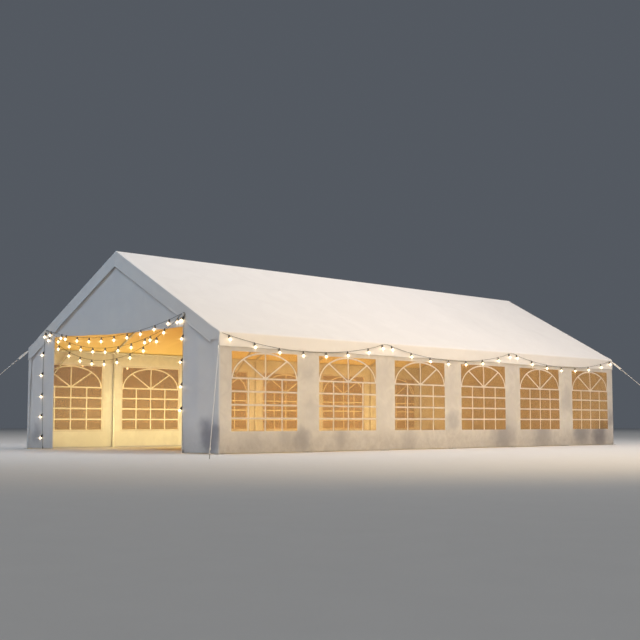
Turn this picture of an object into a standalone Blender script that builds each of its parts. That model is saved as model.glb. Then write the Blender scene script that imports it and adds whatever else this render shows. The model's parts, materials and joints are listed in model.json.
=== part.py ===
"""A party marquee of 6 by 12 m: a frame of steel tubes under a white cloth cover.

Blender 4.5, metres, +Z up. The origin is on the ground under the middle of the tent. The open
doorway faces -Y, the ridge runs along Y, and the long walls with the windows face -X and +X.
"""

import math

import bmesh
import bpy
from mathutils import Matrix, Vector

# Overall sizes, over the outside of the cloth
LENGTH = 12.0
WIDTH = 5.9
EAVE_HEIGHT = 1.98
RIDGE_HEIGHT = 3.61
BAYS = 6

# Cloth: its thickness here, the gap between pieces that touch, and its hems
CLOTH = 0.003
GAP = 0.0003
FILM = 0.002
HEM_HEIGHT = 0.012
VALANCE_DROP = 0.25
GABLE_FLAP_DROP = 0.28
FLAP_END_DROP = 0.12
CORNER_RETURN = 0.02
WALL_RETURN = 0.13
WALL_TUCK = 0.03

# Windows and doorways
WINDOW_WIDTH = 1.475
WINDOW_HEIGHT = 1.305
WINDOW_BELOW_EAVE = 0.305
FILM_LAP = 0.04
DOOR_WIDTH = 3.97
DOOR_HEIGHT = 2.12

# Frame tubes, the sockets that they push into, and the feet
TUBE_RADIUS = 0.019
SOCKET_CLEARANCE = 0.0003
SOCKET_WALL = 0.0037
SOCKET_LENGTH = 0.11
SOCKET_FLOOR = 0.035
TUBE_END_GAP = 0.0005
LEG_SOCKET_CROWN = 0.010
RAFTER_SOCKET_HEEL = 0.012
RAIL_SOCKET_HEEL = 0.015
PLATE_SIZE = 0.12
PLATE_THICKNESS = 0.006
TUBE_SIDES = 12

# Knee braces at the four corners
BRACE_RADIUS = 0.0125
BRACE_ALONG = 0.92
BRACE_DOWN = 1.12

# Guy ropes and their pegs
ROPE_RADIUS = 0.004
ROPE_RUN_X = 1.6
ROPE_RUN_Y = 1.5
ROPE_ATTACH_DROP = 0.06
ROPE_PEG_HEIGHT = 0.075
PEG_RADIUS = 0.006
PEG_HEIGHT = 0.12
PEG_HOOK_RADIUS = 0.018
ROPE_SIDES = 8

# String lights: a cord on each long side and one across the doorway
CORD_RADIUS = 0.003
CORD_STANDOFF = 0.03
SIDE_SWAGS = 3
SIDE_SAG = 0.23
SIDE_HOOK_DROP = 0.02
SIDE_END_INSET = 0.04
LEFT_HOOK_INSET = 0.65
LEFT_HOOK_DROP = 0.06
RIGHT_HOOK_INSET = 0.93
RIGHT_HOOK_DROP = 0.155
FRONT_HOOK_TURN = 0.03
FRONT_SAGS = (0.27, 0.44, 0.66)
FRONT_LAYER = 0.008
FRONT_CORD_END = 0.06
SWAG_POINTS = 12
DROP_POINTS = 6
TURN_POINTS = 4

# Worked out from the sizes above
LAYER = CLOTH + GAP
SOCKET_RADIUS = TUBE_RADIUS + SOCKET_CLEARANCE + SOCKET_WALL
HALF_WIDTH = WIDTH / 2
HALF_LENGTH = LENGTH / 2
SLOPE = math.atan2(RIDGE_HEIGHT - EAVE_HEIGHT, HALF_WIDTH)
BAY = LENGTH / BAYS
WINDOW_TOP = EAVE_HEIGHT - WINDOW_BELOW_EAVE
WINDOW_SILL = WINDOW_TOP - WINDOW_HEIGHT
LEG_X = HALF_WIDTH - 2 * LAYER - SOCKET_RADIUS
END_FRAME_Y = HALF_LENGTH - 3 * LAYER - SOCKET_RADIUS
STATIONS = [END_FRAME_Y * (2 * i / BAYS - 1) for i in range(BAYS + 1)]
SIDES = {"left": -1, "right": 1}
ENDS = {"front": -1, "back": 1}


def roof_height(x, depth):
    """Height of the roof at x, on the surface that lies depth under the cover's outer face."""
    return EAVE_HEIGHT + (HALF_WIDTH - abs(x)) * math.tan(SLOPE) - depth / math.cos(SLOPE)


FRAME_DEPTH = LAYER + SOCKET_RADIUS
EAVE_Z = roof_height(LEG_X, FRAME_DEPTH)
RIDGE_Z = roof_height(0, FRAME_DEPTH)


def clear_scene():
    for obj in list(bpy.data.objects):
        bpy.data.objects.remove(obj)


def new_collection(name):
    collection = bpy.data.collections.new(name)
    bpy.context.scene.collection.children.link(collection)
    return collection


def move_to(obj, collection):
    for holder in list(obj.users_collection):
        holder.objects.unlink(obj)
    collection.objects.link(obj)


def material(name, colour, roughness, metallic=0.0, alpha=1.0):
    made = bpy.data.materials.new(name)
    made.use_nodes = True
    surface = made.node_tree.nodes["Principled BSDF"]
    surface.inputs["Base Color"].default_value = (*colour, 1.0)
    surface.inputs["Roughness"].default_value = roughness
    surface.inputs["Metallic"].default_value = metallic
    surface.inputs["Alpha"].default_value = alpha
    return made


def finish(obj, name, surface, smooth=False):
    """Names the object, gives it its material and puts it with the tent's parts."""
    obj.name = name
    obj.data.name = name
    obj.data.materials.clear()
    obj.data.materials.append(surface)
    if smooth:
        obj.data.shade_smooth()
        obj.data.set_sharp_from_angle(angle=math.radians(40))
    move_to(obj, PARTS)
    return obj


def helper(obj, name):
    """Names an object that only cuts or joins, and keeps it out of the tent."""
    obj.name = name
    obj.hide_render = True
    obj.display_type = "WIRE"
    move_to(obj, CUTTERS)
    return obj


def rod(start, end, radius, sides=TUBE_SIDES):
    """A round bar between two points."""
    start = Vector(start)
    end = Vector(end)
    along = end - start
    bpy.ops.mesh.primitive_cylinder_add(
        vertices=sides, radius=radius, depth=along.length, location=(start + end) / 2
    )
    bar = bpy.context.object
    bar.rotation_mode = "QUATERNION"
    bar.rotation_quaternion = along.to_track_quat("Z", "Y")
    return bar


def box(low, high):
    low = Vector(low)
    high = Vector(high)
    bpy.ops.mesh.primitive_cube_add(size=1, location=(low + high) / 2)
    block = bpy.context.object
    block.scale = high - low
    bpy.ops.object.transform_apply(location=False, rotation=False, scale=True)
    return block


def as_mesh(curve_object):
    """The mesh of a curve object, with its caps welded on, in the curve's place."""
    bpy.context.view_layer.update()
    graph = bpy.context.evaluated_depsgraph_get()
    mesh = bpy.data.meshes.new_from_object(curve_object.evaluated_get(graph))
    welded = bmesh.new()
    welded.from_mesh(mesh)
    bmesh.ops.remove_doubles(welded, verts=welded.verts, dist=0.00001)
    bmesh.ops.recalc_face_normals(welded, faces=welded.faces)
    welded.to_mesh(mesh)
    welded.free()
    solid = bpy.data.objects.new(curve_object.name, mesh)
    solid.matrix_world = curve_object.matrix_world
    bpy.context.scene.collection.objects.link(solid)
    bpy.data.objects.remove(curve_object)
    return solid


def plate(outline, thickness, place):
    """A flat sheet of an outline, from place's local z = 0 up to its thickness."""
    curve = bpy.data.curves.new("outline", "CURVE")
    curve.dimensions = "2D"
    curve.fill_mode = "BOTH"
    curve.extrude = thickness / 2
    spline = curve.splines.new("POLY")
    spline.points.add(len(outline) - 1)
    for point, (u, v) in zip(spline.points, outline):
        point.co = (u, v, 0, 1)
    spline.use_cyclic_u = True
    sheet = bpy.data.objects.new("outline", curve)
    sheet.matrix_world = place @ Matrix.Translation((0, 0, thickness / 2))
    bpy.context.scene.collection.objects.link(sheet)
    return as_mesh(sheet)


def upright_plate(outline, near_y, far_y):
    """A sheet of an outline in X and Z, between two values of y."""
    stand_up = Matrix.Translation((0, far_y, 0)) @ Matrix.Rotation(math.pi / 2, 4, "X")
    return plate(outline, far_y - near_y, stand_up)


def level_plate(outline, low_z, high_z):
    """A sheet of an outline in X and Y, between two heights."""
    return plate(outline, high_z - low_z, Matrix.Translation((0, 0, low_z)))


def tube_along(points, radius):
    """A cord of round section through points, with closed ends."""
    curve = bpy.data.curves.new("route", "CURVE")
    curve.dimensions = "3D"
    curve.bevel_depth = radius
    curve.bevel_resolution = 2
    curve.use_fill_caps = True
    spline = curve.splines.new("POLY")
    spline.points.add(len(points) - 1)
    for point, place in zip(spline.points, points):
        point.co = (*place, 1)
    cord = bpy.data.objects.new("route", curve)
    bpy.context.scene.collection.objects.link(cord)
    return cord


def boolean(obj, other, operation):
    modifier = obj.modifiers.new(other.name, "BOOLEAN")
    modifier.operation = operation
    modifier.solver = "EXACT"
    modifier.object = other


def joined(objects, name):
    """One helper mesh that holds several solids that don't touch."""
    bpy.ops.object.select_all(action="DESELECT")
    for obj in objects:
        obj.select_set(True)
    bpy.context.view_layer.objects.active = objects[0]
    bpy.ops.object.join()
    return helper(bpy.context.object, name)


def legs():
    """Each leg is one tube on a welded foot plate."""
    top = EAVE_Z - SOCKET_FLOOR - TUBE_END_GAP
    half = PLATE_SIZE / 2
    for side, sign in SIDES.items():
        x = sign * LEG_X
        for number, y in enumerate(STATIONS, 1):
            leg = rod((x, y, PLATE_THICKNESS / 2), (x, y, top), TUBE_RADIUS)
            foot = box((x - half, y - half, 0), (x + half, y + half, PLATE_THICKNESS))
            boolean(leg, helper(foot, f"foot_{side}_{number}"), "UNION")
            finish(leg, f"{side}_leg_{number}", STEEL, smooth=True)


def rafters():
    """Two tubes to each frame, from the sockets at the eaves to those at the ridge."""
    for side, sign in SIDES.items():
        for number, y in enumerate(STATIONS, 1):
            eave = Vector((sign * LEG_X, y, EAVE_Z))
            ridge = Vector((0, y, RIDGE_Z))
            inset = (ridge - eave).normalized() * (SOCKET_FLOOR + TUBE_END_GAP)
            rafter = rod(eave + inset, ridge - inset, TUBE_RADIUS)
            finish(rafter, f"{side}_rafter_{number}", STEEL, smooth=True)


def rail_with_sockets(name, x, z, branches):
    """A rail along the tent, with a socket fitting at each frame that takes the tubes of branches.

    branches holds (direction, heel), the heel being how far a socket reaches back past the middle.
    """
    rail = rod((x, -END_FRAME_Y, z), (x, END_FRAME_Y, z), TUBE_RADIUS)
    collars = []
    for y in STATIONS:
        low = max(y - SOCKET_LENGTH, -END_FRAME_Y - RAIL_SOCKET_HEEL)
        high = min(y + SOCKET_LENGTH, END_FRAME_Y + RAIL_SOCKET_HEEL)
        collars.append(rod((x, low, z), (x, high, z), SOCKET_RADIUS))
    boolean(rail, joined(collars, f"{name}_collars"), "UNION")
    bores = []
    for index, (direction, heel) in enumerate(branches):
        direction = Vector(direction).normalized()
        sockets = []
        for y in STATIONS:
            middle = Vector((x, y, z))
            mouth = middle + direction * SOCKET_LENGTH
            sockets.append(rod(middle - direction * heel, mouth, SOCKET_RADIUS))
            floor = middle + direction * SOCKET_FLOOR
            past = mouth + direction * SOCKET_FLOOR
            bores.append(rod(floor, past, TUBE_RADIUS + SOCKET_CLEARANCE))
        boolean(rail, joined(sockets, f"{name}_sockets_{index}"), "UNION")
    boolean(rail, joined(bores, f"{name}_bores"), "DIFFERENCE")
    finish(rail, name, STEEL, smooth=True)


def rails():
    rise = Vector((math.cos(SLOPE), 0, math.sin(SLOPE)))
    for side, sign in SIDES.items():
        leg_socket = ((0, 0, -1), LEG_SOCKET_CROWN)
        rafter_socket = ((-sign * rise.x, 0, rise.z), RAFTER_SOCKET_HEEL)
        rail_with_sockets(f"{side}_eave_rail", sign * LEG_X, EAVE_Z, [leg_socket, rafter_socket])
    down_both = [((sign * rise.x, 0, -rise.z), 0) for sign in SIDES.values()]
    rail_with_sockets("ridge_rail", 0, RIDGE_Z, down_both)


def knee_braces():
    """A thin tube at each corner, beside the eave rail and the corner leg."""
    for side, sign in SIDES.items():
        x = sign * (LEG_X - TUBE_RADIUS - GAP - BRACE_RADIUS)
        for end, toward in ENDS.items():
            on_leg = (x, toward * END_FRAME_Y, EAVE_Z - BRACE_DOWN)
            on_rail = (x, toward * (END_FRAME_Y - BRACE_ALONG), EAVE_Z)
            brace = rod(on_leg, on_rail, BRACE_RADIUS, sides=12)
            finish(brace, f"{end}_{side}_knee_brace", STEEL, smooth=True)


def roof_cover():
    """Both slopes, the valances and the gable flaps, cut from one house-shaped block."""
    bottom = EAVE_HEIGHT - VALANCE_DROP
    below = bottom - VALANCE_DROP
    outer = [
        (-HALF_WIDTH, bottom),
        (HALF_WIDTH, bottom),
        (HALF_WIDTH, EAVE_HEIGHT),
        (0, RIDGE_HEIGHT),
        (-HALF_WIDTH, EAVE_HEIGHT),
    ]
    inside = HALF_WIDTH - CLOTH
    inner = [
        (-inside, below),
        (inside, below),
        (inside, roof_height(inside, CLOTH)),
        (0, roof_height(0, CLOTH)),
        (-inside, roof_height(inside, CLOTH)),
    ]
    flap_end = EAVE_HEIGHT - FLAP_END_DROP
    flap_top = RIDGE_HEIGHT - GABLE_FLAP_DROP
    flap_x = (flap_top - flap_end) / math.tan(SLOPE)
    mouth_x = HALF_WIDTH - CORNER_RETURN
    mouth = [
        (-mouth_x, below),
        (mouth_x, below),
        (mouth_x, flap_end),
        (flap_x, flap_end),
        (0, flap_top),
        (-flap_x, flap_end),
        (-mouth_x, flap_end),
    ]
    cover = upright_plate(outer, -HALF_LENGTH, HALF_LENGTH)
    hollow = upright_plate(inner, CLOTH - HALF_LENGTH, HALF_LENGTH - CLOTH)
    boolean(cover, helper(hollow, "roof_hollow"), "DIFFERENCE")
    ends = upright_plate(mouth, -LENGTH, LENGTH)
    boolean(cover, helper(ends, "gable_mouths"), "DIFFERENCE")
    finish(cover, "roof_cover", CANVAS)


def side_walls():
    """A long wall on each side, which turns round the corner legs, with a hole for each window."""
    face = HALF_WIDTH - LAYER
    back = face - CLOTH
    tip = face - WALL_RETURN
    end_face = HALF_LENGTH - LAYER
    end_back = end_face - CLOTH
    plan = [
        (tip, -end_face),
        (face, -end_face),
        (face, end_face),
        (tip, end_face),
        (tip, end_back),
        (back, end_back),
        (back, -end_back),
        (tip, -end_back),
    ]
    for side, sign in SIDES.items():
        outline = [(sign * x, y) for x, y in plan]
        wall = level_plate(outline, HEM_HEIGHT, EAVE_HEIGHT - WALL_TUCK)
        holes = []
        for bay in range(BAYS):
            middle = (bay + 0.5) * BAY - HALF_LENGTH
            holes.append(
                box(
                    (sign * HALF_WIDTH - WALL_RETURN / 2, middle - WINDOW_WIDTH / 2, WINDOW_SILL),
                    (sign * HALF_WIDTH + WALL_RETURN / 2, middle + WINDOW_WIDTH / 2, WINDOW_TOP),
                )
            )
        boolean(wall, joined(holes, f"{side}_window_holes"), "DIFFERENCE")
        finish(wall, f"{side}_wall", CANVAS)


def window_films():
    """One clear strip behind each long wall, which closes all of its windows."""
    reach = HALF_LENGTH - BAY / 2 + WINDOW_WIDTH / 2 + FILM_LAP
    outside = HALF_WIDTH - 2 * LAYER
    for side, sign in SIDES.items():
        near, far = sorted((sign * (outside - FILM), sign * outside))
        film = box((near, -reach, WINDOW_SILL - FILM_LAP), (far, reach, WINDOW_TOP + FILM_LAP))
        finish(film, f"{side}_window_film", CLEAR_FILM)


def end_walls():
    """A gable sheet at each end, with a doorway in its middle."""
    edge = HALF_WIDTH - 2 * LAYER
    half_door = DOOR_WIDTH / 2
    outline = [
        (-edge, HEM_HEIGHT),
        (-half_door, HEM_HEIGHT),
        (-half_door, DOOR_HEIGHT),
        (half_door, DOOR_HEIGHT),
        (half_door, HEM_HEIGHT),
        (edge, HEM_HEIGHT),
        (edge, roof_height(edge, LAYER + GAP)),
        (0, roof_height(0, LAYER + GAP)),
        (-edge, roof_height(edge, LAYER + GAP)),
    ]
    outside = HALF_LENGTH - 2 * LAYER
    for end, toward in ENDS.items():
        near, far = sorted((toward * outside, toward * (outside - CLOTH)))
        finish(upright_plate(outline, near, far), f"{end}_wall", CANVAS)


def back_door():
    """The panel that is zipped into the back doorway. The front one's panel is off."""
    outside = HALF_LENGTH - 2 * LAYER
    half = DOOR_WIDTH / 2 - GAP
    panel = box(
        (-half, outside - CLOTH, HEM_HEIGHT),
        (half, outside, DOOR_HEIGHT - GAP),
    )
    finish(panel, "back_door_panel", CANVAS)


def guy_ropes():
    """A taut rope from each corner of the cover to a hooked peg in the ground."""
    for side, sign in SIDES.items():
        for end, toward in ENDS.items():
            corner = Vector((sign * HALF_WIDTH, toward * HALF_LENGTH, EAVE_HEIGHT - ROPE_ATTACH_DROP))
            run = Vector((sign * ROPE_RUN_X, toward * ROPE_RUN_Y, ROPE_PEG_HEIGHT - corner.z))
            along = run.normalized()
            peg = corner + run
            level = math.hypot(along.x, along.y)
            short = (PEG_RADIUS + GAP + ROPE_RADIUS * abs(along.z)) / level
            clear = Vector((sign, toward, 0)) * ROPE_RADIUS * 0.6
            rope = rod(corner + clear, peg - along * short, ROPE_RADIUS, sides=ROPE_SIDES)
            finish(rope, f"{end}_{side}_guy_rope", ROPE, smooth=True)
            peg_hook(f"{end}_{side}_peg", peg.x, peg.y, sign, toward)


def peg_hook(name, x, y, sign, toward):
    """The part of a ground peg that shows: an upright pin, bent over away from the tent."""
    away = Vector((sign * ROPE_RUN_X, toward * ROPE_RUN_Y, 0)).normalized()
    shoulder = PEG_HEIGHT - PEG_HOOK_RADIUS
    centre = Vector((x, y, shoulder)) + away * PEG_HOOK_RADIUS
    points = [Vector((x, y, 0)), Vector((x, y, shoulder))]
    for step in range(1, TURN_POINTS + 1):
        angle = math.pi * (1 - step / TURN_POINTS)
        points.append(
            centre
            + away * math.cos(angle) * PEG_HOOK_RADIUS
            + Vector((0, 0, math.sin(angle) * PEG_HOOK_RADIUS))
        )
    finish(tube_along(points, PEG_RADIUS), name, STEEL)


def swag(start, end, sag, outward, count=SWAG_POINTS):
    """Points of a cord that hangs between two points and stands off its wall in the middle."""
    points = []
    for step in range(1, count):
        share = step / count
        place = start.lerp(end, share)
        place.z -= sag * 4 * share * (1 - share)
        points.append(place + outward * CORD_STANDOFF * math.sin(math.pi * share))
    return points


def side_cords():
    """A cord of lights under each eave, hooked up at its ends and between its swags."""
    reach = HALF_LENGTH - SIDE_END_INSET
    hooks = [reach * (2 * i / SIDE_SWAGS - 1) for i in range(SIDE_SWAGS + 1)]
    for side, sign in SIDES.items():
        outward = Vector((sign, 0, 0))
        x = sign * (HALF_WIDTH + GAP + CORD_RADIUS)
        tops = [Vector((x, y, EAVE_HEIGHT - SIDE_HOOK_DROP)) for y in hooks]
        points = [tops[0]]
        for start, end in zip(tops, tops[1:]):
            points += swag(start, end, SIDE_SAG, outward)
            points.append(end)
        finish(tube_along(points, CORD_RADIUS), f"{side}_light_cord", CORD)


def front_hook(sign, inset, drop_under_edge):
    """A hook on the gable, in from the eave corner and down from the roof's edge there."""
    x = sign * (HALF_WIDTH - inset)
    return Vector((x, 0, roof_height(x, drop_under_edge)))


def turn(hook, sign, y, first, last):
    """Points of the cord's turn round a hook on the side of sign, from angle first to last.

    Angles are from straight up, towards sign.
    """
    points = []
    for step in range(TURN_POINTS + 1):
        angle = first + (last - first) * step / TURN_POINTS
        x = hook.x + sign * FRONT_HOOK_TURN * math.sin(angle)
        points.append(Vector((x, y, hook.z + FRONT_HOOK_TURN * math.cos(angle))))
    return points


def drop(top, outward):
    """Points of the cord from the side of a hook down to the ground."""
    points = []
    for step in range(1, DROP_POINTS + 1):
        share = step / DROP_POINTS
        place = Vector((top.x, top.y, top.z + (FRONT_CORD_END - top.z) * share))
        points.append(place + outward * CORD_STANDOFF * math.sin(math.pi * share))
    return points


def front_cord():
    """One cord that climbs the left strip, crosses the doorway three times and goes down the right."""
    outward = Vector((0, -1, 0))
    layers = [-(HALF_LENGTH + GAP + CORD_RADIUS + FRONT_LAYER * k) for k in range(3)]
    left = front_hook(-1, LEFT_HOOK_INSET, LEFT_HOOK_DROP)
    right = front_hook(1, RIGHT_HOOK_INSET, RIGHT_HOOK_DROP)
    up, side, down = 0, math.pi / 2, math.pi
    first_turn = turn(left, -1, layers[0], side, up)
    right_turn = turn(right, 1, layers[0], up, down)
    left_turn = turn(left, -1, layers[1], up, down)
    last_turn = turn(right, 1, layers[2], up, side)
    points = list(reversed(drop(first_turn[0], outward)))
    points += first_turn
    points += swag(first_turn[-1], right_turn[0], FRONT_SAGS[0], outward)
    points += right_turn
    points += swag(right_turn[-1], left_turn[0], FRONT_SAGS[1], outward)
    points += left_turn
    points += swag(left_turn[-1], last_turn[0], FRONT_SAGS[2], outward)
    points += last_turn
    points += drop(last_turn[-1], outward)
    finish(tube_along(points, CORD_RADIUS), "front_light_cord", CORD)


clear_scene()
PARTS = new_collection("party_marquee")
CUTTERS = new_collection("cutters")
STEEL = material("coated_steel", (0.78, 0.77, 0.74), 0.4, metallic=0.3)
CANVAS = material("white_cloth", (0.86, 0.85, 0.82), 0.55)
CLEAR_FILM = material("clear_film", (0.9, 0.88, 0.84), 0.12, alpha=0.25)
ROPE = material("white_rope", (0.82, 0.81, 0.78), 0.8)
CORD = material("black_cord", (0.02, 0.02, 0.02), 0.5)

legs()
rafters()
rails()
knee_braces()
roof_cover()
side_walls()
window_films()
end_walls()
back_door()
guy_ropes()
side_cords()
front_cord()
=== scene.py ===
"""Looks of the party marquee: its cloth, windows, tubes, ropes and strings of lights.

Blender 4.5, metres, +Z up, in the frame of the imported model. The open doorway faces -Y.
"""

import json
import math

import bmesh
import bpy
from mathutils import Matrix, Vector, noise
from mathutils.geometry import interpolate_bezier
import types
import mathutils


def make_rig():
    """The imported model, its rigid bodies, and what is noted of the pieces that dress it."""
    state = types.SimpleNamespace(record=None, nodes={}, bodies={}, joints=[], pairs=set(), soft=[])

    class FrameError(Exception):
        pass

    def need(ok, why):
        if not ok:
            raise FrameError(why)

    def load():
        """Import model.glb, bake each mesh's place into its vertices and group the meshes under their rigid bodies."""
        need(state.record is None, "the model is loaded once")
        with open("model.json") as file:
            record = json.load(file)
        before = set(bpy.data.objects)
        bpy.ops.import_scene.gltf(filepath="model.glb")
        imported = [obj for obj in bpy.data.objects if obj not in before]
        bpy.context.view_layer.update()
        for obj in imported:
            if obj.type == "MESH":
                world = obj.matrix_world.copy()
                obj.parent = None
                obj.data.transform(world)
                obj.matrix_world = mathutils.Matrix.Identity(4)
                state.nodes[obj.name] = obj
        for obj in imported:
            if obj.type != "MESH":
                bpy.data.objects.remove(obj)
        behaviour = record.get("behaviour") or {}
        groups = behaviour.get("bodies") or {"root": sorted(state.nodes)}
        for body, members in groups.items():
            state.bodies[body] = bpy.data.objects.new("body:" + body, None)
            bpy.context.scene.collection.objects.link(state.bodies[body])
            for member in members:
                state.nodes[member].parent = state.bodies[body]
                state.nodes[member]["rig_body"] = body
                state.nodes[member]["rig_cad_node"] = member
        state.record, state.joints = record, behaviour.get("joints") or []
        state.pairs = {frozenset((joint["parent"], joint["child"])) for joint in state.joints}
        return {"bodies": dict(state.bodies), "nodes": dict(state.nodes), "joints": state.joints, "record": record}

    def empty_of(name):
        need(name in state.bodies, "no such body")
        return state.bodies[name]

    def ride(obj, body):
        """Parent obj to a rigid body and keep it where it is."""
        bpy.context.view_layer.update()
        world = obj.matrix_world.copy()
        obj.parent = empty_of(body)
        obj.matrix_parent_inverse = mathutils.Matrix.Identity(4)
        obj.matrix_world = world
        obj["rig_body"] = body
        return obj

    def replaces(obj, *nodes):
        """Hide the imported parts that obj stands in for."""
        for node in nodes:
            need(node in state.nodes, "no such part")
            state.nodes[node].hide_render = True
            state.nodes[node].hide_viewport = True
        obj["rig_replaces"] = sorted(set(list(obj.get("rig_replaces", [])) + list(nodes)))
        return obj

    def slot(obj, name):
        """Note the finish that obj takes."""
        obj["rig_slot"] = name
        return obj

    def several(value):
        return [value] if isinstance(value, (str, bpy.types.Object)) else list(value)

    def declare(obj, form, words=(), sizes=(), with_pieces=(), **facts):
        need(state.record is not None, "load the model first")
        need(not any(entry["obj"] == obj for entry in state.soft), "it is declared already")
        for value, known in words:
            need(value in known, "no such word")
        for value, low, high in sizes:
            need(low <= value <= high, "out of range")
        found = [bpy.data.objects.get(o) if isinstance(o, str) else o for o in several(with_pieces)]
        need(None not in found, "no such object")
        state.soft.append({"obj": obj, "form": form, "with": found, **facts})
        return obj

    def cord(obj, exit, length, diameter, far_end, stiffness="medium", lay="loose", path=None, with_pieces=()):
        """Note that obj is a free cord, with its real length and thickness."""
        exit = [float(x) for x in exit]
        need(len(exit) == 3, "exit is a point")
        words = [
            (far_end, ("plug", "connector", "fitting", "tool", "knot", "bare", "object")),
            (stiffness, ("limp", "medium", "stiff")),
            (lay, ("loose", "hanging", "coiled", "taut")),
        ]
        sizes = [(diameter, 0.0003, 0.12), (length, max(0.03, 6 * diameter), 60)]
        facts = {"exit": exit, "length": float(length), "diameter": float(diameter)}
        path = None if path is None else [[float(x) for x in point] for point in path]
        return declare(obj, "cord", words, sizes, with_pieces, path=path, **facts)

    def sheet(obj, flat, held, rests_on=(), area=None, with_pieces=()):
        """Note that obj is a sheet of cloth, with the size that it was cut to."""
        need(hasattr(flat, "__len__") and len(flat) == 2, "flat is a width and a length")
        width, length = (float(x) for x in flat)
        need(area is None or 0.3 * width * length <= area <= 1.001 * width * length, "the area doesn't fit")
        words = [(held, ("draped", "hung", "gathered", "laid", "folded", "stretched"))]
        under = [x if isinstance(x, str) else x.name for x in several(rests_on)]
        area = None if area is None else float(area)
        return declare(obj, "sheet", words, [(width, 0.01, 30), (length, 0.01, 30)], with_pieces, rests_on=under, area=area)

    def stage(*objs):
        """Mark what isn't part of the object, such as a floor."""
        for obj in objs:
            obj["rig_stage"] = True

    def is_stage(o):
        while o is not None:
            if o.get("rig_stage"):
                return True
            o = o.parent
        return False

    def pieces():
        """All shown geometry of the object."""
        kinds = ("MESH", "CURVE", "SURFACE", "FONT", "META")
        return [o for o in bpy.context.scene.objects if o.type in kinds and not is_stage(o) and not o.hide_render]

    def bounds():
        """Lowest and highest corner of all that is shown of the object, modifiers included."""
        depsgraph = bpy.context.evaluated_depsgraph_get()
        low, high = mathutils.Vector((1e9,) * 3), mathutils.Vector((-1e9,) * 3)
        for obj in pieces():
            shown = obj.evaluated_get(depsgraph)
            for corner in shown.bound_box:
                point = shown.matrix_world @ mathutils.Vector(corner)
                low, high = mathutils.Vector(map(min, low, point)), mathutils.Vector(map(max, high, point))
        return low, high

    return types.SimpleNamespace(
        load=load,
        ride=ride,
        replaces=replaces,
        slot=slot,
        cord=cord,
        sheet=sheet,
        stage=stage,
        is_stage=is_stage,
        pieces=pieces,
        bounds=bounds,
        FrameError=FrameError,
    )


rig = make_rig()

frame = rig.load()
cad_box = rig.bounds()
bpy.ops.object.select_all(action="DESELECT")

# Sizes of the tent, as in its construction
HALF_WIDTH = 2.95
HALF_LENGTH = 6.0
EAVE_HEIGHT = 1.98
RIDGE_HEIGHT = 3.61
BAYS = 6
BAY = 2 * HALF_LENGTH / BAYS
SLOPE = math.atan2(RIDGE_HEIGHT - EAVE_HEIGHT, HALF_WIDTH)
LAYER = 0.0033
HEM_HEIGHT = 0.012
VALANCE_DROP = 0.25
GABLE_FLAP_DROP = 0.28
FLAP_END_DROP = 0.12
CORNER_RETURN = 0.02
WALL_RETURN = 0.13
WALL_TUCK = 0.03
WINDOW_WIDTH = 1.475
WINDOW_SILL = 0.37
WINDOW_TOP = 1.675
FILM_LAP = 0.04
DOOR_HALF = 1.985
DOOR_HEIGHT = 2.12
TUBE_RADIUS = 0.019
SOCKET_RADIUS = 0.023
SOCKET_LENGTH = 0.11
SOCKET_FLOOR = 0.0355
PLATE_SIZE = 0.12
PLATE_THICKNESS = 0.006
BRACE_RADIUS = 0.0125
BRACE_ALONG = 0.92
BRACE_DOWN = 1.12
LEG_X = HALF_WIDTH - 2 * LAYER - SOCKET_RADIUS
END_FRAME_Y = HALF_LENGTH - 3 * LAYER - SOCKET_RADIUS
STATIONS = [END_FRAME_Y * (2 * i / BAYS - 1) for i in range(BAYS + 1)]
SIDES = {"left": -1, "right": 1}
ENDS = {"front": -1, "back": 1}

# How the cloth is made and hangs
CLOTH = 0.0012
FILM = 0.0006
FILM_GAP = 0.0010
EAVE_ROLL = 0.040
EAVE_BACK = EAVE_ROLL * math.tan((math.pi / 2 - SLOPE) / 2)
RIDGE_ROLL = 0.026
EDGE_ROLL = 0.008
CORNER_ROLL = 0.026
ROOF_SAG = 0.020
PANE_SWELL = 0.010
FLAP_LIFT = 0.033
FLAP_HEM = 0.0011
FLAP_HELD = ((-2.34, -2.00), (1.84, 2.07))
FLAP_TURN = {-1: (2.79, 1.775), 1: (2.71, 1.862)}
RAKE_DIP = 0.009
GABLE_INSET = 0.0145
GABLE_FACE = HALF_LENGTH - 2 * LAYER
PANEL_GAP = 0.001
PANEL_BEHIND = 0.0004

# The white bars of a window
BAR_WIDTH = 0.028
BAR_THICKNESS = 0.0022
BAR_TIER = 0.0001
ARCH_BASE = 1.235
ARCH_RISE = 0.44
ARCH_SPOKE = (0.49, 0.31)
CROSS_BARS = (1.02, 0.80, 0.58)
UPRIGHT = 0.38

# String lights. A front hook is (its side, how far in from the eave, how far under the roof)
CORD_RADIUS = 0.003
CORD_STANDOFF = 0.03
CORD_GAP = 0.0003
SIDE_SWAGS = 3
SIDE_SAG = 0.23
SIDE_REACH = HALF_LENGTH - 0.04
SIDE_HOOK_Z = EAVE_HEIGHT - 0.02
SIDE_HOOKS = [SIDE_REACH * (2 * i / SIDE_SWAGS - 1) for i in range(SIDE_SWAGS + 1)]
FRONT_HOOKS = ((-1, 0.65, 0.06), (1, 0.93, 0.155))
FRONT_HOOK_TURN = 0.03
FRONT_SAGS = (0.27, 0.44, 0.66)
FRONT_LAYER = 0.008
FRONT_CORD_END = 0.06
SWAG_POINTS = 12
DROP_POINTS = 6
TURN_POINTS = 4
SWAG_LAMPS = 8
SIDE_LAMP_FIRST = 0.155
SIDE_LAMP_PITCH = 0.557
SIDE_LAMP_LAST = 3.895
LAMP_PITCH = 0.40
BULB_RADIUS = 0.0185
BULB_CENTRE = 0.076
LAMP_LENGTH = 0.0985
CLASP_RADIUS = 0.0086
KNOB_REACH = 0.052


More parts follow.
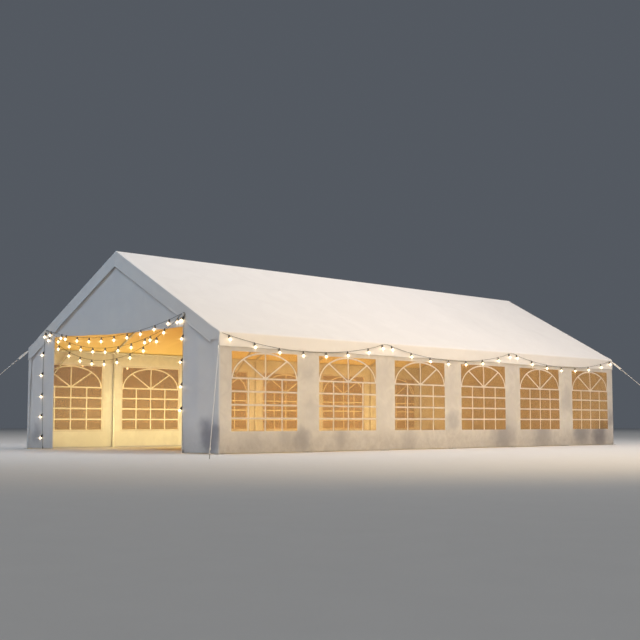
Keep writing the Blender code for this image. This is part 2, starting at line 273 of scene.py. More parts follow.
def roof_height(x, depth):
    """Height of the roof at x, on the surface that lies depth under the cover's outer face."""
    return EAVE_HEIGHT + (HALF_WIDTH - abs(x)) * math.tan(SLOPE) - depth / math.cos(SLOPE)


EAVE_Z = roof_height(LEG_X, LAYER + SOCKET_RADIUS)
RIDGE_Z = roof_height(0, LAYER + SOCKET_RADIUS)


def steps(low, high, count):
    """Evenly spaced values from low up to high, both ends included."""
    return [low + (high - low) * i / count for i in range(count + 1)]


def roof_profile(depth):
    """Points across the cover, from the left valance over the ridge to the right valance.

    Each is (x, z, share up the slope or None on a valance, share down the valance), on the
    surface that lies depth under the outer face.
    """
    centre = (HALF_WIDTH - EAVE_ROLL, EAVE_HEIGHT - EAVE_BACK)
    bottom = EAVE_HEIGHT - VALANCE_DROP
    half = []
    for z in steps(bottom, centre[1], 8)[:-1]:
        half.append((HALF_WIDTH - depth, z, 0.0, (centre[1] - z) / (centre[1] - bottom)))
    for turn in steps(0, math.pi / 2 - SLOPE, 6):
        reach = EAVE_ROLL - depth
        x = centre[0] + reach * math.cos(turn)
        half.append((x, centre[1] + reach * math.sin(turn), 0.0, 0.0))
    ridge_back = RIDGE_ROLL * math.sin(SLOPE)
    first_x = half[-1][0]
    shoulder = first_x - 0.5
    for x in steps(first_x, shoulder, 16)[1:] + steps(shoulder, ridge_back, 22)[1:]:
        share = (first_x - x) / (first_x - ridge_back)
        half.append((x, roof_height(x, depth), share, 0.0))
    ridge_z = RIDGE_HEIGHT - RIDGE_ROLL / math.cos(SLOPE)
    for turn in steps(SLOPE, 0, 3)[1:]:
        reach = RIDGE_ROLL - depth
        half.append((reach * math.sin(turn), ridge_z + reach * math.cos(turn), 1.0, 0.0))
    left = [(-x, z, share, down) for x, z, share, down in half]
    return left + list(reversed(half[:-1]))


def along_profile(profile):
    """The distance along a profile up to each of its points."""
    reached = [0.0]
    for (x0, z0, *_), (x1, z1, *_) in zip(profile, profile[1:]):
        reached.append(reached[-1] + math.hypot(x1 - x0, z1 - z0))
    return reached


def distances_along(path):
    """The distance along a path up to each of its places."""
    reached = [0.0]
    for a, b in zip(path, path[1:]):
        reached.append(reached[-1] + (b - a).length)
    return reached


COVER_WIDTH = along_profile(roof_profile(0))[-1]


# Node groups that several finishes share
def new_group(name, inputs, outputs):
    """An empty shader group. inputs gives each number's value, or None for a vector."""
    group = bpy.data.node_groups.new(name, "ShaderNodeTree")
    for socket_name, value in inputs.items():
        kind = "NodeSocketVector" if value is None else "NodeSocketFloat"
        socket = group.interface.new_socket(socket_name, in_out="INPUT", socket_type=kind)
        if value is not None:
            socket.default_value = value
    for socket_name in outputs:
        group.interface.new_socket(socket_name, in_out="OUTPUT", socket_type="NodeSocketFloat")
    start = group.nodes.new("NodeGroupInput")
    end = group.nodes.new("NodeGroupOutput")
    return group, start, end


def add(tree, kind, inputs=None, **settings):
    """A node of this kind. An input is given a value, or the output socket that feeds it."""
    made = tree.nodes.new(kind)
    for name, value in settings.items():
        setattr(made, name, value)
    for key, value in (inputs or {}).items():
        if isinstance(value, bpy.types.NodeSocket):
            tree.links.new(value, made.inputs[key])
        else:
            made.inputs[key].default_value = value
    return made


def grouped(tree, group, inputs):
    return add(tree, "ShaderNodeGroup", inputs, node_tree=group)


def maths(tree, operation, first, second=0.5):
    made = add(tree, "ShaderNodeMath", {0: first, 1: second}, operation=operation)
    return made.outputs[0]


def apart(tree, first, second):
    """How far two values are from each other, either way."""
    return maths(tree, "ABSOLUTE", maths(tree, "SUBTRACT", first, second))


def vector_maths(tree, operation, first, second, output="Vector"):
    made = add(tree, "ShaderNodeVectorMath", {0: first, 1: second}, operation=operation)
    return made.outputs[output]


def spread(tree, value, low, high, to_low=0.0, to_high=1.0):
    """value's range low to high, mapped smoothly to another one."""
    inputs = {"Value": value, 1: low, 2: high, 3: to_low, 4: to_high}
    made = add(tree, "ShaderNodeMapRange", inputs, interpolation_type="SMOOTHSTEP")
    return made.outputs["Result"]


def blend(tree, share, first, second):
    """A colour between two, by a share. The colour sockets of a Mix node are its 6 and 7."""
    made = add(tree, "ShaderNodeMix", {0: share, 6: first, 7: second}, data_type="RGBA")
    return made.outputs[2]


def noise_over(tree, place, scale, detail, **more):
    """Noise over a surface. more names its other inputs, such as Roughness."""
    inputs = {"Vector": place, "Scale": scale, "Detail": detail, **more}
    return add(tree, "ShaderNodeTexNoise", inputs)


def woven_threads():
    """A plain weave of flat tape threads, in metres along and across the cloth."""
    group, start, end = new_group("woven_threads", {"Place": None, "Scale": 110.0}, ["Height"])
    waves = []
    for direction in ("X", "Y"):
        inputs = {"Vector": start.outputs["Place"], "Scale": start.outputs["Scale"]}
        wave = add(group, "ShaderNodeTexWave", inputs, bands_direction=direction)
        waves.append(wave.outputs["Fac"])
    group.links.new(maths(group, "MAXIMUM", *waves), end.inputs["Height"])
    return group


def soft_creases():
    """Large slack waves in hung cloth, and the smaller dents between them. Shade is painted shade, lowest where both
    waves are low, and the finishes darken their colour by it.
    """
    group, start, end = new_group("soft_creases", {"Place": None, "Scale": 1.0}, ["Height", "Shade"])
    shades = []
    for size, detail, distortion in ((0.8, 2.0, 0.6), (3.4, 3.0, 1.2)):
        scale = maths(group, "MULTIPLY", start.outputs["Scale"], size)
        waves = noise_over(group, start.outputs["Place"], scale, detail, Distortion=distortion)
        shades.append(waves.outputs["Fac"])
    slack, dents = shades
    height = maths(group, "ADD", slack, maths(group, "MULTIPLY", dents, 0.35))
    shade = maths(group, "MULTIPLY", slack, dents)
    group.links.new(height, end.inputs["Height"])
    group.links.new(spread(group, shade, 0.14, 0.42), end.inputs["Shade"])
    return group


def ground_dust_and_shade():
    """A mask of splashed dust and painted shade that fades out up from the ground."""
    group, start, end = new_group("ground_dust_and_shade", {"Place": None, "Reach": 0.3}, ["Mask"])
    parts = add(group, "ShaderNodeSeparateXYZ", {0: start.outputs["Place"]})
    share = maths(group, "DIVIDE", parts.outputs["Z"], start.outputs["Reach"])
    low = spread(group, share, 0.0, 1.0, 1.0, 0.0)
    spots = noise_over(group, start.outputs["Place"], 9.0, 5.0, Roughness=0.7)
    patchy = spread(group, spots.outputs["Fac"], 0.0, 1.0, 0.2, 0.9)
    group.links.new(maths(group, "MULTIPLY", low, patchy), end.inputs["Mask"])
    return group


HEM_WIDTH = 0.028
STITCH_ROW = 0.0215
STITCH_PITCH = 0.0065
STITCH_SHARE = 0.64


def sewn_hem():
    """A folded hem with a row of stitches, by the distance in from the edge of the cloth. Its second output holds the
    stitches and also painted shade: a thin dark line along the fold and a darker rim along the very edge of the cloth.
    """
    group, start, end = new_group("sewn_hem", {"Distance": 1.0, "Along": 0.0}, ["Height", "Stitches_and_shade"])
    distance = start.outputs["Distance"]
    fold = spread(group, distance, HEM_WIDTH - 0.0006, HEM_WIDTH + 0.0006, 1.0, 0.0)
    row = spread(group, apart(group, distance, STITCH_ROW), 0.0007, 0.0016, 1.0, 0.0)
    stitches = maths(group, "FRACT", maths(group, "DIVIDE", start.outputs["Along"], STITCH_PITCH))
    stitch = maths(group, "MULTIPLY", row, maths(group, "LESS_THAN", stitches, STITCH_SHARE))
    # painted shade: a thin dark line along the hem's fold
    edge = spread(group, apart(group, distance, HEM_WIDTH + 0.0002), 0.0006, 0.0022, 0.5, 0.0)
    # painted shade: a darker rim along the cloth's edge, standing for the shadow line under the edges of flaps and
    # valances
    rim = spread(group, distance, 0.004, 0.013, 1.5, 0.0)
    stitch_and_shade = maths(group, "MAXIMUM", maths(group, "MAXIMUM", stitch, edge), rim)
    group.links.new(maths(group, "ADD", fold, stitch), end.inputs["Height"])
    group.links.new(stitch_and_shade, end.inputs["Stitches_and_shade"])
    return group


def painted_shade_spot():
    """One soft spot of painted shade on hung cloth, by its middle and its reach. Its edge wanders a little."""
    inputs = {"Place": None, "Middle": None, "Reach": 0.3, "Share": 0.5}
    group, start, end = new_group("painted_shade_spot", inputs, ["Mask"])
    wobble = noise_over(group, start.outputs["Place"], 3.2, 2.5, Roughness=0.6)
    aside = vector_maths(group, "SUBTRACT", wobble.outputs["Color"], (0.5, 0.5, 0.5))
    aside = vector_maths(group, "MULTIPLY", aside, (0.42, 0.42, 0.42))
    moved = vector_maths(group, "ADD", start.outputs["Place"], aside)
    away = vector_maths(group, "DISTANCE", moved, start.outputs["Middle"], "Value")
    share = maths(group, "DIVIDE", away, start.outputs["Reach"])
    soft = spread(group, share, 0.1, 1.0, 1.0, 0.0)
    group.links.new(maths(group, "MULTIPLY", soft, start.outputs["Share"]), end.inputs["Mask"])
    return group


WOVEN_THREADS = woven_threads()
SOFT_CREASES = soft_creases()
GROUND_DUST_AND_SHADE = ground_dust_and_shade()
SEWN_HEM = sewn_hem()
PAINTED_SHADE_SPOT = painted_shade_spot()


# Ways of making finishes
def new_material(name, roughness, **sockets):
    """A material with its Principled shader, and the tree that it stands in."""
    made = bpy.data.materials.new(name)
    made.use_nodes = True
    tree = made.node_tree
    surface = tree.nodes["Principled BSDF"]
    surface.inputs["Roughness"].default_value = roughness
    for key, value in sockets.items():
        surface.inputs[key.replace("_", " ")].default_value = value
    return made, tree, surface


def dress(tree, surface, colour, rough):
    """Feeds the surface's colour and roughness."""
    tree.links.new(colour, surface.inputs["Base Color"])
    tree.links.new(rough, surface.inputs["Roughness"])


def bump(tree, surface, height, distance, strength=1.0, under=None):
    inputs = {"Height": height, "Distance": distance, "Strength": strength}
    if under is not None:
        inputs["Normal"] = under
    made = add(tree, "ShaderNodeBump", inputs)
    tree.links.new(made.outputs["Normal"], surface.inputs["Normal"])
    return made.outputs["Normal"]


def object_place(tree):
    return add(tree, "ShaderNodeTexCoord").outputs["Object"]


def flat_place(tree):
    """The place on the flat cloth, or round and along a cord, in metres."""
    return add(tree, "ShaderNodeUVMap", uv_map="cloth").outputs["UV"]


def mix_shaders(tree, share, first, second):
    """Shows a mix of two shaders on the surface."""
    inputs = {0: share, 1: first.outputs["BSDF"], 2: second.outputs["BSDF"]}
    mixed = add(tree, "ShaderNodeMixShader", inputs)
    tree.links.new(mixed.outputs["Shader"], tree.nodes["Material Output"].inputs["Surface"])


def let_light_through(tree, surface, colour, share):
    """Mixes in light that comes through from behind the cloth."""
    behind = add(tree, "ShaderNodeBsdfTranslucent", {"Color": colour})
    mix_shaders(tree, share, surface, behind)


def roof_edge(tree, across, along):
    """The distance in from the nearest edge of the cover, on its flat cloth."""
    valance = maths(tree, "MINIMUM", across, maths(tree, "SUBTRACT", COVER_WIDTH, across))
    flap = maths(tree, "SUBTRACT", HALF_LENGTH + GABLE_FLAP_DROP, maths(tree, "ABSOLUTE", along))
    return maths(tree, "MINIMUM", valance, flap)


def foot_edge(tree, across, up):
    """The distance up from the lower edge of a wall."""
    return maths(tree, "SUBTRACT", up, HEM_HEIGHT)


def jamb_edge(tree, across, up):
    """The distance from the nearest edge of a gable wall: its foot or the side of its doorway."""
    jamb = apart(tree, maths(tree, "ABSOLUTE", across), DOOR_HALF)
    over = maths(tree, "GREATER_THAN", up, DOOR_HEIGHT)
    return maths(tree, "MINIMUM", foot_edge(tree, across, up), maths(tree, "ADD", jamb, over))


# painted shade: the grey of the spots of painted shade on the walls and gables
SHADE_SPOT_GREY = (0.35, 0.355, 0.40, 1)
# dust and painted shade: the brown that the cloth darkens to near the ground
DUST_AND_SHADE_BROWN = (0.29, 0.255, 0.24, 1)
DUST_AND_SHADE_REACH = 0.55
# painted shade: the colour of the stitches, the hem's fold line and the shaded rim along the cloth's edges
HEM_SHADE = (0.34, 0.33, 0.31, 1)


def add_shade_spots(tree, place, colour, dents, plane):
    """Greys a colour in spots of painted shade; the cloth's shape has no dent under them. plane is 1 along the axes
    that a spot lies in.
    """
    pressed = vector_maths(tree, "MULTIPLY", place, plane)
    spot_shade = 0.0
    for middle, reach, share in dents:
        inputs = {"Place": pressed, "Middle": middle, "Reach": reach, "Share": share}
        one_spot = grouped(tree, PAINTED_SHADE_SPOT, inputs)
        spot_shade = maths(tree, "MAXIMUM", one_spot.outputs["Mask"], spot_shade)
    return blend(tree, spot_shade, colour, SHADE_SPOT_GREY)


def tent_cloth(name, edge, light, dark, crease, depth, thin, dust_and_shade=0.0, dents=(), plane=(0, 1, 1)):
    """Woven polyethylene: a faint weave, sewn hems with painted shade along the edges, slack creases with painted
    shade in their troughs, spots of painted shade given as dents, and dust with painted shade near the ground.

    crease is how close its creases stand, depth how deep they look and thin the share of light
    that comes through.
    """
    made, tree, surface = new_material(name, 0.48, Specular_IOR_Level=0.35)
    place = object_place(tree)
    flat = flat_place(tree)
    creases = grouped(tree, SOFT_CREASES, {"Place": place, "Scale": crease})
    threads = grouped(tree, WOVEN_THREADS, {"Place": flat, "Scale": 110.0})
    # painted shade: the colour is darker in the low troughs of the creases
    colour = blend(tree, creases.outputs["Shade"], dark, light)
    # painted shade: the colour greys in the listed spots
    if dents:
        colour = add_shade_spots(tree, place, colour, dents, plane)
    # dust and painted shade: the colour darkens towards the ground
    low_dust_and_shade = grouped(tree, GROUND_DUST_AND_SHADE, {"Place": place, "Reach": DUST_AND_SHADE_REACH})
    colour = blend(tree, maths(tree, "MULTIPLY", low_dust_and_shade.outputs["Mask"], dust_and_shade), colour, DUST_AND_SHADE_BROWN)
    parts = add(tree, "ShaderNodeSeparateXYZ", {0: flat})
    across, along = parts.outputs["X"], parts.outputs["Y"]
    run = maths(tree, "ADD", across, along)
    hem = grouped(tree, SEWN_HEM, {"Distance": edge(tree, across, along), "Along": run})
    # stitches, and painted shade along the hems and the cloth's edges
    colour = blend(tree, maths(tree, "MULTIPLY", hem.outputs["Stitches_and_shade"], 0.35), colour, HEM_SHADE)
    dress(tree, surface, colour, spread(tree, creases.outputs["Shade"], 0.0, 1.0, 0.55, 0.42))
    under = bump(tree, surface, threads.outputs["Height"], 0.0004, 0.4)
    under = bump(tree, surface, hem.outputs["Height"], 0.0012, 0.8, under)
    bump(tree, surface, creases.outputs["Height"], depth, 1.0, under)
    let_light_through(tree, surface, colour, thin)
    return made


def window_film():
    """Clear film, tinted, with slack ripples in its gloss. Where it laps the wall it is plain."""
    made, tree, surface = new_material("clear_film", 0.14, Base_Color=(0.88, 0.58, 0.28, 1))
    ripples = grouped(tree, SOFT_CREASES, {"Place": object_place(tree), "Scale": 2.2})
    shade = ripples.outputs["Shade"]
    tree.links.new(spread(tree, shade, 0.0, 1.0, 0.34, 0.20), surface.inputs["Roughness"])
    bump(tree, surface, ripples.outputs["Height"], 0.010, 0.6)
    parts = add(tree, "ShaderNodeSeparateXYZ", {0: flat_place(tree)})
    bay = maths(tree, "FRACT", maths(tree, "DIVIDE", parts.outputs["X"], BAY))
    across = apart(tree, maths(tree, "MULTIPLY", bay, BAY), BAY / 2)
    up = apart(tree, parts.outputs["Y"], (WINDOW_TOP + WINDOW_SILL) / 2)
    over_side = maths(tree, "SUBTRACT", across, WINDOW_WIDTH / 2)
    over_sill = maths(tree, "SUBTRACT", up, (WINDOW_TOP - WINDOW_SILL) / 2)
    lapped = spread(tree, maths(tree, "MAXIMUM", over_side, over_sill), 0.0, 0.002)
    tint = blend(tree, shade, (0.88, 0.81, 0.71, 1), (0.92, 0.86, 0.78, 1))
    tint = blend(tree, lapped, tint, (0.99, 0.99, 0.99, 1))
    through = add(tree, "ShaderNodeBsdfTransparent", {"Color": tint})
    mix_shaders(tree, spread(tree, lapped, 0.0, 1.0, 0.17, 0.05), through, surface)
    return made


def printed_bar():
    made, tree, surface = new_material("white_bar", 0.38)
    creases = grouped(tree, SOFT_CREASES, {"Place": object_place(tree), "Scale": 5.0})
    # painted shade: the colour is darker in the low troughs of the creases
    colour = blend(tree, creases.outputs["Shade"], (0.86, 0.84, 0.79, 1), (0.95, 0.93, 0.89, 1))
    tree.links.new(colour, surface.inputs["Base Color"])
    bump(tree, surface, creases.outputs["Height"], 0.002, 0.5)
    let_light_through(tree, surface, colour, 0.40)
    return made


def coated_tube():
    """Galvanised tube under a thin pale coat, with scuffs where tubes slide together."""
    made, tree, surface = new_material("coated_steel", 0.4, Metallic=0.3)
    place = object_place(tree)
    spangle = add(tree, "ShaderNodeTexVoronoi", {"Vector": place, "Scale": 90.0})
    scuffs = noise_over(tree, place, 26.0, 8.0, Roughness=0.75).outputs["Fac"]
    worn = spread(tree, scuffs, 0.56, 0.72)
    coat = blend(tree, spangle.outputs["Distance"], (0.54, 0.54, 0.53, 1), (0.66, 0.66, 0.65, 1))
    colour = blend(tree, worn, coat, (0.36, 0.36, 0.36, 1))
    dress(tree, surface, colour, spread(tree, worn, 0.0, 1.0, 0.34, 0.55))
    bump(tree, surface, scuffs, 0.0003, 0.5)
    return made


def grainy(name, roughness, dark, light, scale, detail, coarse, dull, **sockets):
    """A plain finish with a fine grain. dull is its roughness from the dark to the light grain."""
    made, tree, surface = new_material(name, roughness, **sockets)
    speckle = noise_over(tree, object_place(tree), scale, detail, Roughness=coarse)
    grain = speckle.outputs["Fac"]
    dress(tree, surface, blend(tree, grain, dark, light), spread(tree, grain, 0.2, 0.8, *dull))
    bump(tree, surface, grain, 0.0002, 0.5)
    return made


def laid_strands(name, light, dark, roughness, turns, depth):
    """Strands that wind round a rope or cord. The map has turns across and metres along."""
    made, tree, surface = new_material(name, roughness)
    inputs = {"Vector": flat_place(tree), "Scale": (0.314, turns, 1.0)}
    slanted = add(tree, "ShaderNodeMapping", inputs)
    parts = add(tree, "ShaderNodeSeparateXYZ", {0: slanted.outputs["Vector"]})
    phase = maths(tree, "ADD", parts.outputs["X"], parts.outputs["Y"])
    lay = add(tree, "ShaderNodeCombineXYZ", {"X": phase})
    wave = add(tree, "ShaderNodeTexWave", {"Vector": lay.outputs[0], "Scale": 3.0})
    strand = wave.outputs["Fac"]
    rough = spread(tree, strand, 0.0, 1.0, roughness + 0.1, roughness - 0.05)
    dress(tree, surface, blend(tree, strand, dark, light), rough)
    bump(tree, surface, strand, depth, 0.8)
    return made


def glowing_bulb():
    """Frosted warm glass, lit from inside, its glow a little uneven."""
    made, tree, surface = new_material("lamp_bulb", 0.12, Emission_Strength=3.4)
    uneven = noise_over(tree, object_place(tree), 30.0, 1.0).outputs["Fac"]
    glow = blend(tree, uneven, (1.0, 0.73, 0.44, 1), (1.0, 0.83, 0.57, 1))
    glass = blend(tree, uneven, (1.0, 0.66, 0.32, 1), (1.0, 0.80, 0.52, 1))
    tree.links.new(glow, surface.inputs["Emission Color"])
    tree.links.new(glass, surface.inputs["Base Color"])
    return made


# Each spot of painted shade, passed as dents, is (its middle, its reach, how far it greys the cloth)
SIDE_SHADE_SPOTS = [
    ((0, -5.30, 0.20), 0.34, 0.16),
    ((0, -4.52, 0.25), 0.30, 0.36),
    ((0, -4.18, 0.24), 0.32, 0.60),
    ((0, -4.05, 1.35), 0.26, 0.22),
    ((0, -3.90, 0.74), 0.30, 0.22),
    ((0, -3.20, 0.22), 0.30, 0.46),
    ((0, -1.35, 0.22), 0.34, 0.30),
    ((0, 0.00, 0.52), 0.34, 0.48),
    ((0, 1.65, 0.24), 0.60, 0.66),
    ((0, 3.10, 0.25), 0.55, 0.58),
    ((0, 4.05, 1.00), 0.34, 0.28),
    ((0, 4.60, 0.28), 0.50, 0.85),
    ((0, 5.35, 0.25), 0.48, 1.0),
    ((0, 5.86, 0.66), 0.28, 0.55),
]
END_SHADE_SPOTS = [
    ((-2.54, 0, 0.28), 0.34, 0.62),
    ((-2.30, 0, 1.20), 0.40, 0.12),
    ((2.74, 0, 0.28), 0.44, 1.0),
    ((2.40, 0, 1.05), 0.45, 0.12),
]
ROOF_CLOTH = tent_cloth(
    "roof_cloth",
    roof_edge,
    light=(0.88, 0.87, 0.85, 1),
    dark=(0.84, 0.83, 0.815, 1),
    crease=0.5,
    depth=0.0025,
    thin=0.06,
)
# painted light: the roof's own white cloth, coloured golden where it faces the hall, as warm lamplight
ROOF_INSIDE_LAMPLIT = tent_cloth(
    "roof_cloth_painted_lamplight",
    roof_edge,
    light=(0.89, 0.72, 0.36, 1),
    dark=(0.84, 0.67, 0.32, 1),
    crease=0.5,
    depth=0.004,
    thin=0.06,
)
# painted shade: a dark grey copy of the cloth on the back of the gable flap, so the gap under its edge reads dark
FLAP_PAINTED_SHADE = tent_cloth(
    "flap_painted_shade",
    roof_edge,
    light=(0.44, 0.44, 0.47, 1),
    dark=(0.38, 0.38, 0.41, 1),
    crease=0.6,
    depth=0.003,
    thin=0.03,
)
WALL_CLOTH = tent_cloth(
    "wall_cloth",
    foot_edge,
    light=(0.87, 0.86, 0.84, 1),
    dark=(0.77, 0.76, 0.75, 1),
    crease=1.3,
    depth=0.010,
    thin=0.42,
    dust_and_shade=0.62,
    # painted shade: grey spots on the long walls
    dents=SIDE_SHADE_SPOTS,
)
WALL_INSIDE = tent_cloth(
    "wall_cloth_inside",
    foot_edge,
    light=(0.87, 0.86, 0.84, 1),
    dark=(0.79, 0.78, 0.77, 1),
    crease=1.3,
    depth=0.008,
    thin=0.42,
    dust_and_shade=0.05,
)
END_CLOTH = tent_cloth(
    "end_cloth",
    jamb_edge,
    light=(0.86, 0.86, 0.85, 1),
    dark=(0.82, 0.82, 0.82, 1),
    crease=0.6,
    depth=0.004,
    thin=0.06,
    dust_and_shade=0.4,
    # painted shade: grey spots on the gable strips
    dents=END_SHADE_SPOTS,
    plane=(1, 0, 1),
)
CLEAR_FILM = window_film()
WHITE_BAR = printed_bar()
STEEL = coated_tube()
BARE_STEEL = grainy(
    "bare_steel",
    roughness=0.3,
    dark=(0.46, 0.45, 0.43, 1),
    light=(0.72, 0.71, 0.69, 1),
    scale=160.0,
    detail=6.0,
    coarse=0.8,
    dull=(0.24, 0.5),
    Metallic=1.0,
)
ROPE = laid_strands("white_rope", (0.92, 0.92, 0.90, 1), (0.70, 0.69, 0.66, 1), 0.8, 40.0, 0.0010)
WEBBING = laid_strands("strap_webbing", (0.93, 0.93, 0.91, 1), (0.78, 0.77, 0.74, 1), 0.7, 600.0, 0.0004)
CORD = laid_strands("light_cord", (0.030, 0.030, 0.030, 1), (0.012, 0.012, 0.012, 1), 0.5, 30.0, 0.0006)
HOLDER = grainy(
    "lamp_holder",
    roughness=0.45,
    dark=(0.012, 0.012, 0.012, 1),
    light=(0.035, 0.034, 0.033, 1),
    scale=400.0,
    detail=4.0,
    coarse=0.5,
    dull=(0.38, 0.55),
)
BULB = glowing_bulb()


# Ways of making pieces
def linked(name, mesh):
    obj = bpy.data.objects.new(name, mesh)
    bpy.context.scene.collection.objects.link(obj)
    return obj


def mesh_piece(name, shape):
    """An object of the shape drawn in a bmesh, which is freed."""
    mesh = bpy.data.meshes.new(name)
    shape.to_mesh(mesh)
    shape.free()
    return linked(name, mesh)


def only(obj):
    """Makes this the one selected and active object."""
    bpy.ops.object.select_all(action="DESELECT")
    obj.select_set(True)
    bpy.context.view_layer.objects.active = obj


def apply_modifier(obj, kind, **settings):
    only(obj)
    modifier = obj.modifiers.new(kind.lower(), kind)
    for name, value in settings.items():
        setattr(modifier, name, value)
    bpy.ops.object.modifier_apply(modifier=modifier.name)


def faces_outwards(obj):
    """Turns all faces of a closed piece outwards."""
    only(obj)
    bpy.ops.object.mode_set(mode="EDIT")
    bpy.ops.mesh.select_all(action="SELECT")
    bpy.ops.mesh.normals_make_consistent(inside=False)
    bpy.ops.object.mode_set(mode="OBJECT")


def settle(obj, name, material, slot, stands_for=(), angle=40):
    """Names a finished piece, smooths it, gives it its finish and lets it ride on the tent."""
    obj.name = name
    obj.data.name = name
    obj.data.materials.clear()
    obj.data.materials.append(material)
    only(obj)
    bpy.ops.object.shade_smooth_by_angle(angle=math.radians(angle))
    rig.slot(obj, slot)
    if stands_for:
        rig.replaces(obj, *stands_for)
    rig.ride(obj, "root")
    return obj


def refinish(sheet, material, chosen):
    """Gives the chosen faces of a finished sheet a finish of their own."""
    sheet.data.materials.append(material)
    index = len(sheet.data.materials) - 1
    for face in sheet.data.polygons:
        if chosen(face):
            face.material_index = index


def joined(objects):
    bpy.ops.object.select_all(action="DESELECT")
    for obj in objects:
        obj.select_set(True)
    bpy.context.view_layer.objects.active = objects[0]
    if len(objects) > 1:
        bpy.ops.object.join()
    return bpy.context.object


def smooth_step(low, high, value):
    """0 up to low, 1 from high on, and a smooth rise between them."""
    share = min(max((value - low) / (high - low), 0.0), 1.0)
    return share * share * (3 - 2 * share)


def bell(value, middle, reach):
    """1 at the middle, and less on both sides of it, over about the reach."""
    return math.exp(-(((value - middle) / reach) ** 2))


def wander(a, b, seed):
    """Smooth noise between about -1 and 1, the same each time."""
    return noise.noise(Vector((a, b, seed)))


def grid(rows, columns, point):
    """The points of a sheet, row by row, from a function of a row's and a column's value."""
    return [[point(row, column) for column in columns] for row in rows]


def whole(i, j):
    """No hole anywhere in a patch."""
    return False


def fill_patch(cloth, layer, rows, hole=whole):
    """Adds the faces between rows of points, each given as (place, (u, v) on the flat cloth)."""
    verts = [[cloth.verts.new(place) for place, flat in row] for row in rows]
    for i in range(len(rows) - 1):
        for j in range(len(rows[i]) - 1):
            if hole(i, j):
                continue
            corners = ((i, j), (i, j + 1), (i + 1, j + 1), (i + 1, j))
            face = cloth.faces.new([verts[a][b] for a, b in corners])
            for loop, (a, b) in zip(face.loops, corners):
                loop[layer].uv = rows[a][b][1]


def cloth_sheet(name, patches, outward, thickness=CLOTH):
    """A sheet of cloth from patches of points. Patches that share an edge are welded.

    outward is a function that gives, for a point, the way that the cloth's outer face looks
    there.
    """
    cloth = bmesh.new()
    layer = cloth.loops.layers.uv.new("cloth")
    for rows, hole in patches:
        fill_patch(cloth, layer, rows, hole)
    bmesh.ops.remove_doubles(cloth, verts=cloth.verts, dist=0.00005)
    loose = [vert for vert in cloth.verts if not vert.link_faces]
    bmesh.ops.delete(cloth, geom=loose, context="VERTS")
    turned = []
    for face in cloth.faces:
        face.normal_update()
        if face.normal.dot(outward(face.calc_center_median())) < 0:
            turned.append(face)
    bmesh.ops.reverse_faces(cloth, faces=turned)
    sheet = mesh_piece(name, cloth)
    apply_modifier(sheet, "SOLIDIFY", thickness=thickness, offset=-1, use_even_offset=True)
    return sheet


def tube_mesh(name, points, radius, sides=10):
    """A closed round tube through points, with a map of turns across and metres along."""
    points = [Vector(point) for point in points]
    along = distances_along(points)
    tube = bmesh.new()
    layer = tube.loops.layers.uv.new("cloth")
    across = None
    rings = []
    for index, point in enumerate(points):
        before = points[max(index - 1, 0)]
        after = points[min(index + 1, len(points) - 1)]
        way = (after - before).normalized()
        if across is None:
            across = way.orthogonal().normalized()
        across = (across - way * across.dot(way)).normalized()
        other = way.cross(across)
        ring = []
        for side in range(sides):
            angle = 2 * math.pi * side / sides
            reach = across * math.cos(angle) + other * math.sin(angle)
            ring.append(tube.verts.new(point + reach * radius))
        rings.append(ring)
    for index, (low, high) in enumerate(zip(rings, rings[1:])):
        for side in range(sides):
            past = (side + 1) % sides
            face = tube.faces.new((low[side], low[past], high[past], high[side]))
            places = ((side, index), (side + 1, index), (side + 1, index + 1), (side, index + 1))
            for loop, (a, b) in zip(face.loops, places):
                loop[layer].uv = (a / sides, along[b])
    tube.faces.new(list(reversed(rings[0])))
    tube.faces.new(rings[-1])
    return mesh_piece(name, tube)


def turned_shape(rings, sides):
    """A shape drawn up ring by ring: each ring is (height, radius), and both ends are closed."""
    height, radius = rings[0]
    bpy.ops.mesh.primitive_circle_add(
        vertices=sides, radius=radius, fill_type="NGON", location=(0, 0, height)
    )
    shape = bpy.context.object
    bpy.ops.object.transform_apply(location=True, rotation=False, scale=False)
    bpy.ops.object.mode_set(mode="EDIT")
    bpy.ops.mesh.select_all(action="SELECT")
    for next_height, next_radius in rings[1:]:
        bpy.ops.mesh.extrude_region_move(
            TRANSFORM_OT_translate={"value": (0, 0, next_height - height)}
        )
        grow = next_radius / radius
        bpy.ops.transform.resize(value=(grow, grow, 1), center_override=(0, 0, next_height))
        height, radius = next_height, next_radius
    bpy.ops.mesh.select_all(action="SELECT")
    bpy.ops.mesh.normals_make_consistent(inside=False)
    bpy.ops.object.mode_set(mode="OBJECT")
    return shape


def copied(template, matrices):
    """One object made of a copy of the template's mesh at each matrix. The template goes."""
    made = []
    for matrix in matrices:
        mesh = template.data.copy()
        mesh.transform(matrix)
        made.append(linked("copy", mesh))
    bpy.data.objects.remove(template)
    return joined(made)


def stood_along(start, end):
    """The matrix that stands a shape made along +Z at start, looking towards end."""
    way = (Vector(end) - Vector(start)).normalized()
    return Matrix.Translation(start) @ way.to_track_quat("Z", "Y").to_matrix().to_4x4()


def stand(shape, start, end):
    """Stands a shape made along +Z at start, looking towards end."""
    shape.data.transform(stood_along(start, end))
    return shape


def round_bar(start, end, radius, sides=24, chamfer=0.0012):
    """A tube between two points, with its end edges rounded off."""
    length = (Vector(end) - Vector(start)).length
    rings = [
        (0, radius - chamfer),
        (chamfer, radius),
        (length - chamfer, radius),
        (length, radius - chamfer),
    ]
    return stand(turned_shape(rings, sides), start, end)


